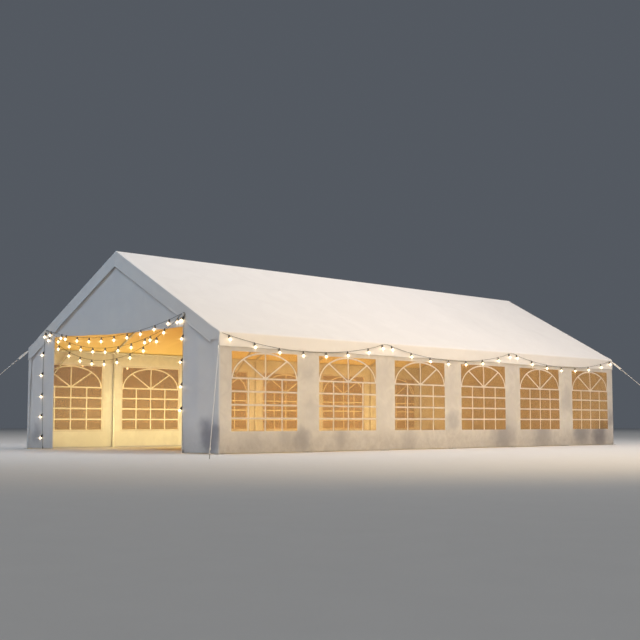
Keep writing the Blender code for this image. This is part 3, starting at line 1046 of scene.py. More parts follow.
def sleeve(start, end, radius, inner, sides=24):
    """A short open tube with a wall, which another tube pushes into."""
    length = (Vector(end) - Vector(start)).length
    bpy.ops.mesh.primitive_cylinder_add(
        vertices=sides, radius=radius, depth=length, end_fill_type="NOTHING"
    )
    pipe = bpy.context.object
    pipe.data.transform(Matrix.Translation((0, 0, length / 2)))
    apply_modifier(pipe, "SOLIDIFY", thickness=radius - inner, offset=-1)
    return stand(pipe, start, end)


# The roof cover
def bay_phase(y):
    """0 at a frame and 1 in the middle between two."""
    if abs(y) >= END_FRAME_Y:
        return 0.0
    span = 2 * END_FRAME_Y / BAYS
    return math.sin(math.pi * ((y + END_FRAME_Y) / span % 1)) ** 2


def roof_point(x, z, share, down, y):
    """Where the cover really hangs: it sags between the frames and flutters at the valance."""
    side = -1 if x < 0 else 1
    across = math.sin(math.pi * share) ** 0.7 if 0 < share < 1 else 0.0
    sag = ROOF_SAG * bay_phase(y) * across
    pull = wander(y * 0.7 + side * z * 0.9, z * 1.3 - y * 0.35, 4.0 * side)
    ripple = 0.004 * pull * across * (0.35 + 0.65 * smooth_step(-2, 5, y))
    fall = sag - max(ripple, -0.0012 - 0.003 * bay_phase(y))
    x -= side * fall * math.sin(SLOPE)
    z -= fall * math.cos(SLOPE)
    if down == 0:
        near_end = smooth_step(0.07, 0.008, HALF_LENGTH - abs(y))
        dip = bell(abs(x), 2.70, 0.11) - 0.45 * bell(abs(x), 2.89, 0.05)
        z -= RAKE_DIP * near_end * dip
    if down > 0:
        held = smooth_step(0.0, 0.12, HALF_LENGTH - abs(y))
        flutter = 0.5 + 0.5 * math.sin(y * 15.2 + 2.0 * math.sin(y * 3.1) + side)
        loose = 0.6 + 0.4 * wander(y * 0.8, 2.0, 9.0 * side)
        pleats = 0.0035 * smooth_step(0.5, 3.0, y) * math.sin(y * 33 + 3 * math.sin(y * 2.3))
        x += side * down**1.6 * held * (loose * (0.007 + 0.011 * flutter) + pleats)
        z += down * (0.014 + 0.016 * wander(y * 1.1, 5.0, side) + 0.004 * wander(y * 7, 1.0, side))
    return Vector((x, y, z))


def away_from_hall(place):
    """The way out from the middle of the tent's hall, for faces of the cover."""
    if abs(place.y) > HALF_LENGTH - 0.5 * EDGE_ROLL:
        return Vector((0, place.y, 0))
    if abs(place.x) > HALF_WIDTH - 0.02:
        return Vector((place.x, 0, 0.5))
    way = place - Vector((0, 0, 0.9))
    return Vector((way.x * 0.3, 0, way.z))


def flap_foot(x, z):
    """The lower edge of the gable flap under a roof edge at x, z. It levels out at the corner."""
    turn, level = FLAP_TURN[-1 if x < 0 else 1]
    foot = z - GABLE_FLAP_DROP
    return foot + (level - foot) * smooth_step(turn, turn + 0.05, abs(x))


def flap_lift(x, share, toward):
    """How far the gable flap stands off at x, by the share down it. It lies flat where held."""
    lift = FLAP_LIFT * share**1.5 * (0.85 + 0.4 * wander(x * 2.2, 3.0, toward))
    lift *= 1 - 0.5 * smooth_step(-0.4, 0.4, x)
    lift *= smooth_step(0.0, 0.17, HALF_WIDTH - abs(x))
    held = 1.0
    for low_x, high_x in FLAP_HELD:
        held *= smooth_step(0.0, 0.18, max(low_x - x, x - high_x))
    return held * (lift + (FLAP_HEM if share > 0.9 else 0.0))


def corner_return(edge, sign, toward):
    """The valance's short turn round the corner, from the points at its end."""

    def turned(inset, end):
        place, flat = end
        return place - Vector((sign * inset, 0, 0)), (flat[0], flat[1] + toward * inset)

    return grid(steps(0, CORNER_RETURN, 2), edge, turned)


def gable_flap(toward, profile, across, inside):
    """The rolled edge over a gable, the flap that hangs from it and the valance's return."""
    rolled = []
    for turn in steps(0, math.pi / 2, 3):
        y = toward * (inside + EDGE_ROLL * math.sin(turn))
        row = []
        for point, s in zip(roof_profile(EDGE_ROLL * (1 - math.cos(turn))), across):
            place = roof_point(*point, toward * inside)
            place.y = y
            row.append((place, (s, y)))
        rolled.append(row)
    top = rolled[-1]

    def hung(share, i):
        place, flat = top[i]
        y = place.y + toward * flap_lift(place.x, share, toward)
        z = place.z + (flap_foot(place.x, place.z) - place.z) * share
        return Vector((place.x, y, z)), (flat[0], flat[1] - toward * (z - place.z))

    valance = [i for i, point in enumerate(profile) if point[3] > 0]
    slope = range(len(valance) // 2, len(profile) - len(valance) // 2)
    flap = grid(steps(0, 0.9, 8) + [0.903, 1.0], slope, hung)
    patches = [(rolled, whole), (flap, whole)]
    for sign in SIDES.values():
        end = [top[i] for i in valance if top[i][0].x * sign > 0]
        edge = [point for point in end if point[0].z < EAVE_HEIGHT - FLAP_END_DROP + 0.03]
        patches.append((corner_return(edge, sign, toward), whole))
    return patches


def roof_cover():
    profile = roof_profile(0)
    across = along_profile(profile)
    inside = HALF_LENGTH - EDGE_ROLL

    def hung(y, column):
        point, s = column
        return roof_point(*point, y), (s, y)

    def inner_face(face):
        return face.normal.dot(away_from_hall(face.center)) < -0.3

    def flap_back(face):
        y = face.center.y
        return abs(y) > inside + 0.003 and face.normal.y * y < -2.5

    patches = [(grid(steps(-inside, inside, 180), list(zip(profile, across)), hung), whole)]
    for toward in ENDS.values():
        patches += gable_flap(toward, profile, across, inside)
    cover = cloth_sheet("roof_cover", patches, away_from_hall)
    apply_modifier(cover, "WELD", merge_threshold=0.00002)
    settle(cover, "roof_cloth", ROOF_CLOTH, "white_cloth", ["roof_cover"], angle=50)
    # painted light: the faces towards the hall take the golden, lamplit copy of the cloth
    refinish(cover, ROOF_INSIDE_LAMPLIT, inner_face)
    # painted shade: the back of the gable flap takes the dark grey copy of the cloth
    refinish(cover, FLAP_PAINTED_SHADE, flap_back)
    width = across[-1]
    area = width * 2 * inside + 2 * (width - 2 * VALANCE_DROP) * GABLE_FLAP_DROP
    length = 2 * (HALF_LENGTH + GABLE_FLAP_DROP)
    frames = [f"{side}_rafter_tube_{n}" for side in SIDES for n in (1, 4, 7)]
    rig.sheet(cover, flat=(width, length), held="stretched", rests_on=frames, area=area)


# The long walls and their windows
def window_middles():
    return [(bay + 0.5) * BAY - HALF_LENGTH for bay in range(BAYS)]


def wall_slack(sign, y, z):
    """How far the long wall stands out from flat at a point."""
    free = 1 - smooth_step(1.50, 1.74, z)
    free *= smooth_step(0.03, 0.35, HALF_LENGTH - abs(y))
    slack = 0.5 + 0.5 * wander(y * 0.9, z * 0.5, 3.1 * sign)
    dents = wander(y * 3.3, z * 4.6, 7.0 + sign)
    low = 1 - smooth_step(0.20, 0.50, z)
    crumple = wander(y * 6.5, z * 3.0, 1.0 + sign)
    return max(free * (0.009 * slack + 0.0035 * dents + 0.005 * low * crumple), 0.0)


def wall_columns():
    """Places along a long wall with its turned ends: (x, y, outward, bay or None)."""
    face = HALF_WIDTH - LAYER
    end_face = HALF_LENGTH - LAYER
    roll = CORNER_ROLL
    columns = []
    for x in steps(face - WALL_RETURN, face - roll, 5)[:-1]:
        columns.append((x, -end_face, (0, -1), None))
    for turn in steps(math.pi / 2, 0, 5):
        x = face - roll + roll * math.cos(turn)
        y = -end_face + roll - roll * math.sin(turn)
        columns.append((x, y, (math.cos(turn), -math.sin(turn)), None))
    last = -end_face + roll
    for number, middle in enumerate(window_middles()):
        near = middle - WINDOW_WIDTH / 2
        far = middle + WINDOW_WIDTH / 2
        for y in steps(last, near, 5)[1:]:
            columns.append((face, y, (1, 0), None))
        for y in steps(near, far, 24)[1:]:
            columns.append((face, y, (1, 0), number))
        last = far
    for y in steps(last, end_face - roll, 5)[1:-1]:
        columns.append((face, y, (1, 0), None))
    turned_end = [column for column in columns if column[1] < -end_face + roll - 0.0001]
    columns.append((face, end_face - roll, (1, 0), None))
    for x, y, (nx, ny), _ in reversed(turned_end):
        columns.append((x, -y, (nx, -ny), None))
    return columns


def end_curl(sign, x, y, z):
    """How the free edge of a wall's turned end stands off the gable, and how far it runs in."""
    bend = HALF_WIDTH - 0.05
    tip = HALF_WIDTH - LAYER - WALL_RETURN
    near_edge = smooth_step(0.0, 1.0, (bend - x) / (bend - tip))
    loose = 0.30 + 0.70 * bell(z, 1.32, 0.30)
    loose += 0.35 * bell(z, 1.72, 0.07)
    loose *= 0.85 + 0.3 * wander(z * 1.6, 6.0, sign + (3 if y > 0 else 0))
    loose *= 1 - smooth_step(1.76, 1.86, z)
    run_in = 0.045 * (smooth_step(0.2, 1.9, z) - 0.6) * near_edge
    reach = 0.024 if sign < 0 else 0.007
    return reach * near_edge**2 * loose, run_in


def outward_at(place, sign):
    """The way out of a long wall or, at its turned ends, out of the gable."""
    bend = CORNER_ROLL * 0.3
    if abs(place.y) > HALF_LENGTH - 2 * LAYER - bend and abs(place.x) < HALF_WIDTH - LAYER - bend:
        return Vector((0, place.y, 0))
    return Vector((sign, 0, 0))


def long_wall(side, sign):
    columns = wall_columns()
    low = steps(HEM_HEIGHT, WINDOW_SILL, 10)
    middle = steps(WINDOW_SILL, WINDOW_TOP, 24)
    high = steps(WINDOW_TOP, EAVE_HEIGHT - WALL_TUCK, 6)
    first = len(low) - 1
    last = first + len(middle) - 1

    def hung(z, column):
        (x, y, (nx, ny), _), s = column
        stand_off = wall_slack(sign, y, z)
        hem = z + (0.006 * wander(y * 1.7, 8.0, sign) if z == HEM_HEIGHT else 0.0)
        curl, run_in = end_curl(sign, x, y, z)
        out = sign * (x - run_in + nx * stand_off)
        return Vector((out, y + ny * (stand_off + curl), hem)), (s, z)

    def in_window(i, j):
        return first <= i < last and columns[j + 1][3] is not None

    def outward(place):
        return outward_at(place, sign)

    def inner_face(face):
        return face.normal.dot(outward(face.center)) < -0.3

    def over_gable(face):
        return abs(face.center.y) > END_FRAME_Y and face.normal.y * face.center.y > 2.5

    across = along_profile(columns)
    rows = grid(low + middle[1:] + high[1:], list(zip(columns, across)), hung)
    wall = cloth_sheet(f"{side}_wall", [(rows, in_window)], outward)
    settle(wall, f"{side}_wall_cloth", WALL_CLOTH, "white_cloth", [f"{side}_wall"], angle=50)
    refinish(wall, WALL_INSIDE, inner_face)
    refinish(wall, END_CLOTH, over_gable)
    length = across[-1]
    height = EAVE_HEIGHT - WALL_TUCK - HEM_HEIGHT
    area = length * height - BAYS * WINDOW_WIDTH * (WINDOW_TOP - WINDOW_SILL)
    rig.sheet(wall, flat=(height, length), held="hung", rests_on=[f"{side}_eave_tube"], area=area)


def film_x(sign, middle, y, z, proud=0.0):
    """Where a window's film stands, a little swollen in its opening."""
    u = (y - middle) / (WINDOW_WIDTH / 2)
    v = (2 * z - WINDOW_TOP - WINDOW_SILL) / (WINDOW_TOP - WINDOW_SILL)
    open_here = max(1 - u**4, 0) * max(1 - v**4, 0)
    swell = PANE_SWELL * open_here * (0.6 + 0.4 * wander(middle, y * 0.7, sign))
    face = HALF_WIDTH - LAYER - CLOTH - FILM_GAP
    return sign * (face + wall_slack(sign, y, z) + swell + proud)


def pane(sign, middle):
    """The points of one window's film."""

    def held(z, y):
        return Vector((film_x(sign, middle, y, z), y, z)), (y, z)

    half = WINDOW_WIDTH / 2 + FILM_LAP
    heights = steps(WINDOW_SILL - FILM_LAP, WINDOW_TOP + FILM_LAP, 28)
    return grid(heights, steps(middle - half, middle + half, 30), held)


def window_panes(side, sign):
    """The six pieces of film that are welded behind a long wall's openings."""
    patches = [(pane(sign, middle), whole) for middle in window_middles()]
    film = cloth_sheet("film", patches, lambda place: Vector((sign, 0, 0)), FILM)
    nodes = [f"{side}_window_film"]
    settle(film, f"{side}_window_panes", CLEAR_FILM, "clear_film", nodes, angle=50)
    height = WINDOW_TOP - WINDOW_SILL + 2 * FILM_LAP
    width = WINDOW_WIDTH + 2 * FILM_LAP
    wall = f"{side}_wall_cloth"
    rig.sheet(film, flat=(height, BAYS * width), held="stretched", rests_on=[wall])


def flat_strip(start, end, tier, cuts=12):
    """A bar's strip between two places on a window, lying flat. tier is its height there."""
    start = Vector((*start, tier))
    end = Vector((*end, tier))
    way = end - start
    bpy.ops.mesh.primitive_grid_add(x_subdivisions=cuts, y_subdivisions=1, size=1)
    strip = bpy.context.object
    bpy.ops.object.mode_set(mode="EDIT")
    bpy.ops.mesh.select_all(action="SELECT")
    bpy.ops.transform.resize(value=(way.length, BAR_WIDTH, 1), center_override=(0, 0, 0))
    bpy.ops.object.mode_set(mode="OBJECT")
    turn = Matrix.Rotation(math.atan2(way.y, way.x), 4, "Z")
    strip.data.transform(Matrix.Translation((start + end) / 2) @ turn)
    return strip


def arch_strip(tier):
    """The upper half of an oval ring, lying flat."""
    bpy.ops.mesh.primitive_circle_add(vertices=96, radius=1, fill_type="NOTHING")
    arch = bpy.context.object
    outer = (WINDOW_WIDTH / 2, ARCH_RISE)
    inner = [(side - BAR_WIDTH) / side for side in outer]
    bpy.ops.object.mode_set(mode="EDIT")
    bpy.ops.mesh.select_all(action="SELECT")
    bpy.ops.transform.resize(value=(*outer, 1), center_override=(0, 0, 0))
    bpy.ops.mesh.extrude_edges_move()
    bpy.ops.transform.resize(value=(*inner, 1), center_override=(0, 0, 0))
    bpy.ops.mesh.select_all(action="SELECT")
    bpy.ops.mesh.bisect(plane_co=(0, 0, 0), plane_no=(0, 1, 0), clear_inner=True)
    bpy.ops.mesh.select_all(action="SELECT")
    bpy.ops.mesh.normals_make_consistent(inside=False)
    bpy.ops.object.mode_set(mode="OBJECT")
    if arch.data.polygons[0].normal.z < 0:
        arch.data.flip_normals()
    arch.data.transform(Matrix.Translation((0, ARCH_BASE, tier)))
    return arch


def window_lattice():
    """The bars of one window, flat, with u across, v as height and each kind on its own tier."""
    half = WINDOW_WIDTH / 2
    strips = [arch_strip(2 * BAR_TIER)]
    for z in (ARCH_BASE, *CROSS_BARS):
        strips.append(flat_strip((-half, z), (half, z), BAR_TIER, cuts=16))
    strips.append(flat_strip((0, WINDOW_SILL), (0, WINDOW_TOP), 0.0, cuts=16))
    for side in (-1, 1):
        x = side * UPRIGHT
        strips.append(flat_strip((x, WINDOW_SILL), (x, ARCH_BASE), 0.0))
        spoke = (side * ARCH_SPOKE[0], ARCH_BASE + ARCH_SPOKE[1])
        strips.append(flat_strip((0, ARCH_BASE), spoke, 3 * BAR_TIER, cuts=8))
    lattice = joined(strips)
    apply_modifier(lattice, "SOLIDIFY", thickness=BAR_THICKNESS, offset=0)
    return lattice


def window_bars(side, sign, lattice):
    made = []
    for middle in window_middles():
        mesh = lattice.data.copy()
        for vert in mesh.vertices:
            u, z, tier = vert.co
            y = middle + sign * u
            vert.co = (film_x(sign, middle, y, z, tier - FILM / 2), y, z)
        made.append(linked("bars", mesh))
    bars = joined(made)
    faces_outwards(bars)
    settle(bars, f"{side}_window_bars", WHITE_BAR, "white_bar", angle=30)


def long_walls():
    lattice = window_lattice()
    for side, sign in SIDES.items():
        long_wall(side, sign)
        window_panes(side, sign)
        window_bars(side, sign, lattice)
    bpy.data.objects.remove(lattice)


# The gable walls
def door_head(x):
    """The lower edge of the cloth over a doorway, which sags a little in its middle."""
    share = (x + DOOR_HALF) / (2 * DOOR_HALF)
    fall = 0.05 * smooth_step(0.0, 0.55, share) - 0.012 * smooth_step(0.6, 1.0, share)
    return DOOR_HEIGHT + 0.028 - fall + 0.004 * math.sin(x * 7.3)


def end_slack(x, z, toward):
    """How far a gable sheet stands out from flat."""
    free = 1 - smooth_step(2.60, 2.85, abs(x))
    free *= smooth_step(0.24, 0.50, roof_height(x, 0) - z) * smooth_step(0.05, 0.8, z)
    fold = wander(x * 2.6, z * 0.35, 5.0 * toward)
    slack = 0.5 + 0.5 * wander(x * 0.7, z * 0.7, 2.0 * toward)
    ridge = 0.022 * bell(abs(x), 2.42, 0.16) * smooth_step(0.0, 0.5, 2.2 - z)
    return free * (0.004 * fold + 0.008 * slack + ridge)


def end_wall(end, toward, open_door):
    edge = HALF_WIDTH - 2 * LAYER - GABLE_INSET
    strip = steps(DOOR_HALF, edge, 14)
    door = steps(-DOOR_HALF, DOOR_HALF, 44)
    left = [-x for x in reversed(strip)]

    def point(x, z):
        stand_off = end_slack(x, z, toward)
        return Vector((x, toward * (GABLE_FACE + stand_off), z)), (x, z)

    def head(x):
        """Where the cloth over the doorway begins and, beside it, where a strip is divided."""
        jamb = min(max(x, -DOOR_HALF), DOOR_HALF)
        height = door_head(jamb) if open_door else DOOR_HEIGHT
        return height * roof_height(x, 0) / roof_height(jamb, 0)

    def over_door(share, x):
        top = roof_height(x, LAYER + CLOTH)
        return point(x, head(x) + (top - head(x)) * share)

    def beside_door(share, x):
        hem = HEM_HEIGHT + 0.005 * wander(x * 2.2, 4.0, toward)
        return point(x, hem + (head(x) - hem) * share)

    patches = [(grid(steps(0, 1, 26), left + door[1:-1] + strip, over_door), whole)]
    for xs in (left, strip):
        patches.append((grid(steps(0, 1, 30), xs, beside_door), whole))
    wall = cloth_sheet(f"{end}_wall", patches, lambda place: Vector((0, toward, 0)))
    settle(wall, f"{end}_gable_cloth", END_CLOTH, "white_cloth", [f"{end}_wall"], angle=50)
    height = RIDGE_HEIGHT - HEM_HEIGHT
    gable = edge * (RIDGE_HEIGHT - EAVE_HEIGHT)
    doorway = 2 * DOOR_HALF * (DOOR_HEIGHT - HEM_HEIGHT)
    area = gable + 2 * edge * (EAVE_HEIGHT - HEM_HEIGHT) - doorway
    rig.sheet(wall, flat=(2 * edge, height), held="hung", rests_on=["roof_cloth"], area=area)


def back_panel():
    """The door panel that is zipped into the back doorway."""
    half = DOOR_HALF - PANEL_GAP

    def hung(z, x):
        free = smooth_step(0.0, 0.3, half - abs(x)) * smooth_step(0.0, 0.3, DOOR_HEIGHT - z)
        stand_off = end_slack(x, z, 1) + free * 0.010 * wander(x * 1.9, z * 0.5, 11.0)
        return Vector((x, GABLE_FACE - PANEL_BEHIND + stand_off, z)), (x, z)

    rows = grid(steps(HEM_HEIGHT, DOOR_HEIGHT - PANEL_GAP, 30), steps(-half, half, 48), hung)
    panel = cloth_sheet("panel", [(rows, whole)], lambda place: Vector((0, 1, 0)))
    settle(panel, "back_door_cloth", END_CLOTH, "white_cloth", ["back_door_panel"], angle=50)
    flat = (2 * half, DOOR_HEIGHT - HEM_HEIGHT)
    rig.sheet(panel, flat=flat, held="hung", rests_on=["back_gable_cloth"])


# Zips, ties and hooks
ZIP_TAPE = 0.026
ZIP_COIL = 0.0024
ZIP_ASIDE = 0.003
TIE_HEIGHTS = (0.75, 1.45)
TIE_BALL = 0.0125
LOOP_HALF_WIDTH = 0.009


def zip_half(points, across, outward):
    """Half a zip along a doorway's side: a sewn tape and, on its edge, the coil of teeth."""

    def sewn(column, share):
        point, reached = column
        return point + across * ZIP_TAPE * share + outward * 0.0010, (ZIP_TAPE * share, reached)

    rows = grid(list(zip(points, distances_along(points))), (0.0, 0.5, 1.0), sewn)
    tape = cloth_sheet("zip", [(rows, whole)], lambda place: outward, 0.0009)
    coil = tube_mesh("zip", [point + outward * 0.0022 for point in points], ZIP_COIL, sides=6)
    return [tape, coil]


def zip_slider(place, outward):
    """The slider of a zip with its hanging puller."""
    body = turned_shape([(0, 0.0070), (0.004, 0.0075), (0.0065, 0.0050)], 8)
    body.data.transform(Matrix.Diagonal((0.8, 1.3, 1, 1)))
    stand(body, place, place + outward)
    foot = place + outward * 0.009 - Vector((0, 0, 0.034))
    return [body, round_bar(place + outward * 0.006, foot, 0.0024, 10)]


def door_zips(end, toward, closed):
    """The zips at the sides of a doorway. A closed one has its panel's half as well."""
    outward = Vector((0, toward, 0))
    halves = []
    sliders = []
    for sign in SIDES.values():
        x = sign * (DOOR_HALF + ZIP_ASIDE)
        points = []
        for z in steps(0.03, DOOR_HEIGHT - 0.01, 30):
            points.append(Vector((x, toward * (GABLE_FACE + end_slack(x, z, toward)), z)))
        halves += zip_half(points, Vector((sign, 0, 0)), outward)
        if closed:
            inner = [point - Vector((sign * 2 * ZIP_ASIDE, 0, 0)) for point in points]
            halves += zip_half(inner, Vector((-sign, 0, 0)), outward)
        at = points[1] if closed else points[-1]
        sliders += zip_slider(at - Vector((sign * ZIP_ASIDE, 0, 0)) + outward * 0.003, outward)
    settle(joined(halves), f"{end}_door_zips", WEBBING, "white_cloth")
    settle(joined(sliders), f"{end}_zip_sliders", BARE_STEEL, "bare_steel")


def wall_ties(side, sign):
    """Elastic loops round the legs, each kept by a ball, that hold the wall to the frame."""
    turns = steps(0.25, math.pi - 0.25, 8)
    ball_rings = [(-TIE_BALL * math.cos(a), TIE_BALL * math.sin(a)) for a in turns]
    loops = []
    for y in STATIONS:
        for z, lean in zip(TIE_HEIGHTS, (-0.16, 0.22)):
            bpy.ops.mesh.primitive_torus_add(
                major_radius=TUBE_RADIUS + 0.0032,
                minor_radius=0.0022,
                major_segments=24,
                minor_segments=6,
            )
            loop = bpy.context.object
            turn = Matrix.Rotation(lean, 4, "Y")
            loop.data.transform(Matrix.Translation((sign * LEG_X, y, z)) @ turn)
            ball = turned_shape(ball_rings, 14)
            x = sign * (LEG_X - TUBE_RADIUS - TIE_BALL)
            ball.data.transform(Matrix.Translation((x, y, z)))
            loops += [loop, ball]
    settle(joined(loops), f"{side}_wall_ties", ROPE, "white_rope", angle=60)


def arc(x, z, reach, degrees):
    """Points (x, z) round a middle, at angles up from the level."""
    turns = [math.radians(turn) for turn in degrees]
    return [(x + reach * math.cos(turn), z + reach * math.sin(turn)) for turn in turns]


def cord_loop(sign, y):
    """A loop of webbing, sewn over the eave's roll, that holds the light cord under it."""
    roll_z = EAVE_HEIGHT - EAVE_BACK
    cord_x = HALF_WIDTH + CORD_GAP + CORD_RADIUS
    profile = arc(HALF_WIDTH - EAVE_ROLL, roll_z, EAVE_ROLL + 0.001, (50, 35, 20))
    profile += arc(cord_x, SIDE_HOOK_Z, CORD_RADIUS + 0.0012, steps(75, -75, 5))
    profile += [(HALF_WIDTH + 0.0009, z) for z in (SIDE_HOOK_Z - 0.010, SIDE_HOOK_Z - 0.024)]

    def sewn(index, across):
        x, z = profile[index]
        return Vector((sign * x, y + across, z)), (across, index * 0.007)

    widths = steps(-LOOP_HALF_WIDTH, LOOP_HALF_WIDTH, 2)
    rows = grid(range(len(profile)), widths, sewn)
    return cloth_sheet("loop", [(rows, whole)], lambda place: Vector((sign, 0, 0.3)), 0.0008)


def light_hooks():
    for side, sign in SIDES.items():
        loops = [cord_loop(sign, y) for y in SIDE_HOOKS]
        settle(joined(loops), f"{side}_light_loops", WEBBING, "white_rope")
    rings = [
        (0.0, 0.029),
        (0.002, 0.029),
        (0.003, 0.0262),
        (0.0255, 0.0262),
        (0.027, 0.0295),
        (0.0295, 0.0295),
        (0.031, 0.026),
    ]
    knobs = []
    for hook in front_hooks():
        start = Vector((hook.x, -HALF_LENGTH + 0.002, hook.z))
        knobs.append(stand(turned_shape(rings, 28), start, start + Vector((0, -1, 0))))
    settle(joined(knobs), "front_light_knobs", WHITE_BAR, "white_bar")


# The frame
BUTTON_RINGS = [(-0.002, 0.0042), (0.0012, 0.0042), (0.0024, 0.0030), (0.0028, 0.0012)]
BUTTON_PAST_SOCKET = 0.03
WELD_RINGS = [(0.0055, 0.0235), (0.0075, 0.0225), (0.0100, 0.0192)]
PEG_HEAD_RINGS = [(0.0055, 0.010), (0.0085, 0.0105), (0.0105, 0.0075), (0.0112, 0.003)]
PEG_HEAD_X = 0.042
SOCKET_BORE = 0.0193
SOCKET_INSET = 0.004
RAIL_PAST_FRAME = 0.015
RAIL_BOLT = [(0, 0.0075), (0.005, 0.0075), (0.006, 0.0062)]
BRACE_BOLT = [(0, 0.0072), (0.0055, 0.0072), (0.0065, 0.0055)]
BOLT_SUNK = 0.0015
BRACE_GAP = 0.0003


def push_button(place):
    """The sprung stud that locks a tube in its socket, looking along +Y."""
    return stand(turned_shape(BUTTON_RINGS, 10), place, Vector(place) + Vector((0, 1, 0)))


def foot_plate():
    """A pressed plate with a raised rim round the tube and two peg heads through its corners."""
    bpy.ops.mesh.primitive_cube_add(size=1, location=(0, 0, PLATE_THICKNESS / 2))
    plate = bpy.context.object
    plate.data.transform(Matrix.Diagonal((PLATE_SIZE, PLATE_SIZE, PLATE_THICKNESS, 1)))
    bpy.ops.object.transform_apply(location=True, rotation=False, scale=False)
    apply_modifier(plate, "BEVEL", width=0.0012, segments=2)
    pieces = [plate, turned_shape(WELD_RINGS, 24)]
    for x in (-PEG_HEAD_X, PEG_HEAD_X):
        head = turned_shape(PEG_HEAD_RINGS, 14)
        head.data.transform(Matrix.Translation((x, x, 0)))
        pieces.append(head)
    return joined(pieces)


def legs():
    top = EAVE_Z - SOCKET_FLOOR
    button_z = EAVE_Z - SOCKET_LENGTH - BUTTON_PAST_SOCKET
    for side, sign in SIDES.items():
        for number, y in enumerate(STATIONS, 1):
            tube = round_bar((0, 0, PLATE_THICKNESS / 2), (0, 0, top), TUBE_RADIUS)
            leg = joined([tube, foot_plate(), push_button((0, TUBE_RADIUS, button_z))])
            leg.data.transform(Matrix.Translation((sign * LEG_X, y, 0)))
            settle(leg, f"{side}_leg_tube_{number}", STEEL, "coated_steel", [f"{side}_leg_{number}"])


def rafters():
    for side, sign in SIDES.items():
        eave = Vector((sign * LEG_X, 0, EAVE_Z))
        ridge = Vector((0, 0, RIDGE_Z))
        way = (ridge - eave).normalized()
        inset = way * SOCKET_FLOOR
        to_button = way * (SOCKET_LENGTH + BUTTON_PAST_SOCKET)
        for number, y in enumerate(STATIONS, 1):
            pieces = [round_bar(eave + inset, ridge - inset, TUBE_RADIUS)]
            for end in (eave + to_button, ridge - to_button):
                pieces.append(push_button(end + Vector((0, TUBE_RADIUS, 0))))
            rafter = joined(pieces)
            rafter.data.transform(Matrix.Translation((0, y, 0)))
            nodes = [f"{side}_rafter_{number}"]
            settle(rafter, f"{side}_rafter_tube_{number}", STEEL, "coated_steel", nodes)


def fitted_rail(name, node, x, z, branches):
    """A rail along the tent with a welded fitting at each frame."""
    pieces = [round_bar((x, -END_FRAME_Y, z), (x, END_FRAME_Y, z), TUBE_RADIUS)]
    rail_end = END_FRAME_Y + RAIL_PAST_FRAME
    for y in STATIONS:
        low = max(y - SOCKET_LENGTH, -rail_end)
        high = min(y + SOCKET_LENGTH, rail_end)
        pieces.append(round_bar((x, low, z), (x, high, z), SOCKET_RADIUS))
        inward = Vector((0, -1 if y == STATIONS[-1] else 1, 0))
        for direction in branches:
            way = Vector(direction).normalized()
            start = Vector((x, y, z)) + way * SOCKET_INSET
            end = start + way * (SOCKET_LENGTH - SOCKET_INSET)
            pieces.append(sleeve(start, end, SOCKET_RADIUS, SOCKET_BORE))
            bolt = start + way * 0.085 + inward * (SOCKET_RADIUS - BOLT_SUNK)
            pieces.append(stand(turned_shape(RAIL_BOLT, 6), bolt, bolt + inward))
    settle(joined(pieces), name, STEEL, "coated_steel", [node])


def rails():
    rise = Vector((math.cos(SLOPE), 0, math.sin(SLOPE)))
    for side, sign in SIDES.items():
        branches = [(0, 0, -1), (-sign * rise.x, 0, rise.z)]
        fitted_rail(f"{side}_eave_tube", f"{side}_eave_rail", sign * LEG_X, EAVE_Z, branches)
    down_both = [(sign * rise.x, 0, -rise.z) for sign in SIDES.values()]
    fitted_rail("ridge_tube", "ridge_rail", 0, RIDGE_Z, down_both)


def knee_braces():
    for side, sign in SIDES.items():
        x = sign * (LEG_X - TUBE_RADIUS - BRACE_GAP - BRACE_RADIUS)
        for end, toward in ENDS.items():
            on_leg = (x, toward * END_FRAME_Y, EAVE_Z - BRACE_DOWN)
            on_rail = (x, toward * (END_FRAME_Y - BRACE_ALONG), EAVE_Z)
            pieces = [round_bar(on_leg, on_rail, BRACE_RADIUS, sides=20)]
            for place in (on_leg, on_rail):
                bolt = Vector(place) - Vector((sign * (BRACE_RADIUS - BOLT_SUNK), 0, 0))
                pieces.append(stand(turned_shape(BRACE_BOLT, 6), bolt, bolt - Vector((sign, 0, 0))))
            name = f"{end}_{side}_brace_tube"
            settle(joined(pieces), name, STEEL, "coated_steel", [f"{end}_{side}_knee_brace"])


# Guy ropes and pegs
ROPE_RADIUS = 0.005
ROPE_RUN = (1.6, 1.5)
ROPE_TOP_Z = EAVE_HEIGHT - 0.06
ROPE_PEG_Z = 0.075
ROPE_TAIL = ((0.004, 0.0), (0.03, 0.009), (0.10, 0.010), (0.13, 0.006))
KNOT_RINGS = [
    (-0.022, 0.006),
    (-0.018, 0.0115),
    (-0.009, 0.0125),
    (-0.006, 0.0105),
    (-0.003, 0.0125),
    (0.006, 0.0130),
    (0.010, 0.0105),
    (0.013, 0.0120),
    (0.019, 0.0110),
    (0.024, 0.005),
]
PEG_RADIUS = 0.006
PEG_HEIGHT = 0.12
PEG_HOOK_RADIUS = 0.018
STRAP_LENGTH = 0.24
STRAP_WIDTH = 0.042
STRAP_THICKNESS = 0.0036


def peg_place(toward, sign, z):
    return Vector((sign * (HALF_WIDTH + ROPE_RUN[0]), toward * (HALF_LENGTH + ROPE_RUN[1]), z))


def rope_line(toward, sign):
    """The corner and the peg that a guy rope runs between, and the ways along and across it."""
    corner = Vector((sign * (HALF_WIDTH + 0.004), toward * (HALF_LENGTH + 0.004), ROPE_TOP_Z))
    peg = peg_place(toward, sign, ROPE_PEG_Z)
    way = (peg - corner).normalized()
    across = way.cross(Vector((0, 0, 1))).normalized()
    return corner, peg, way, across


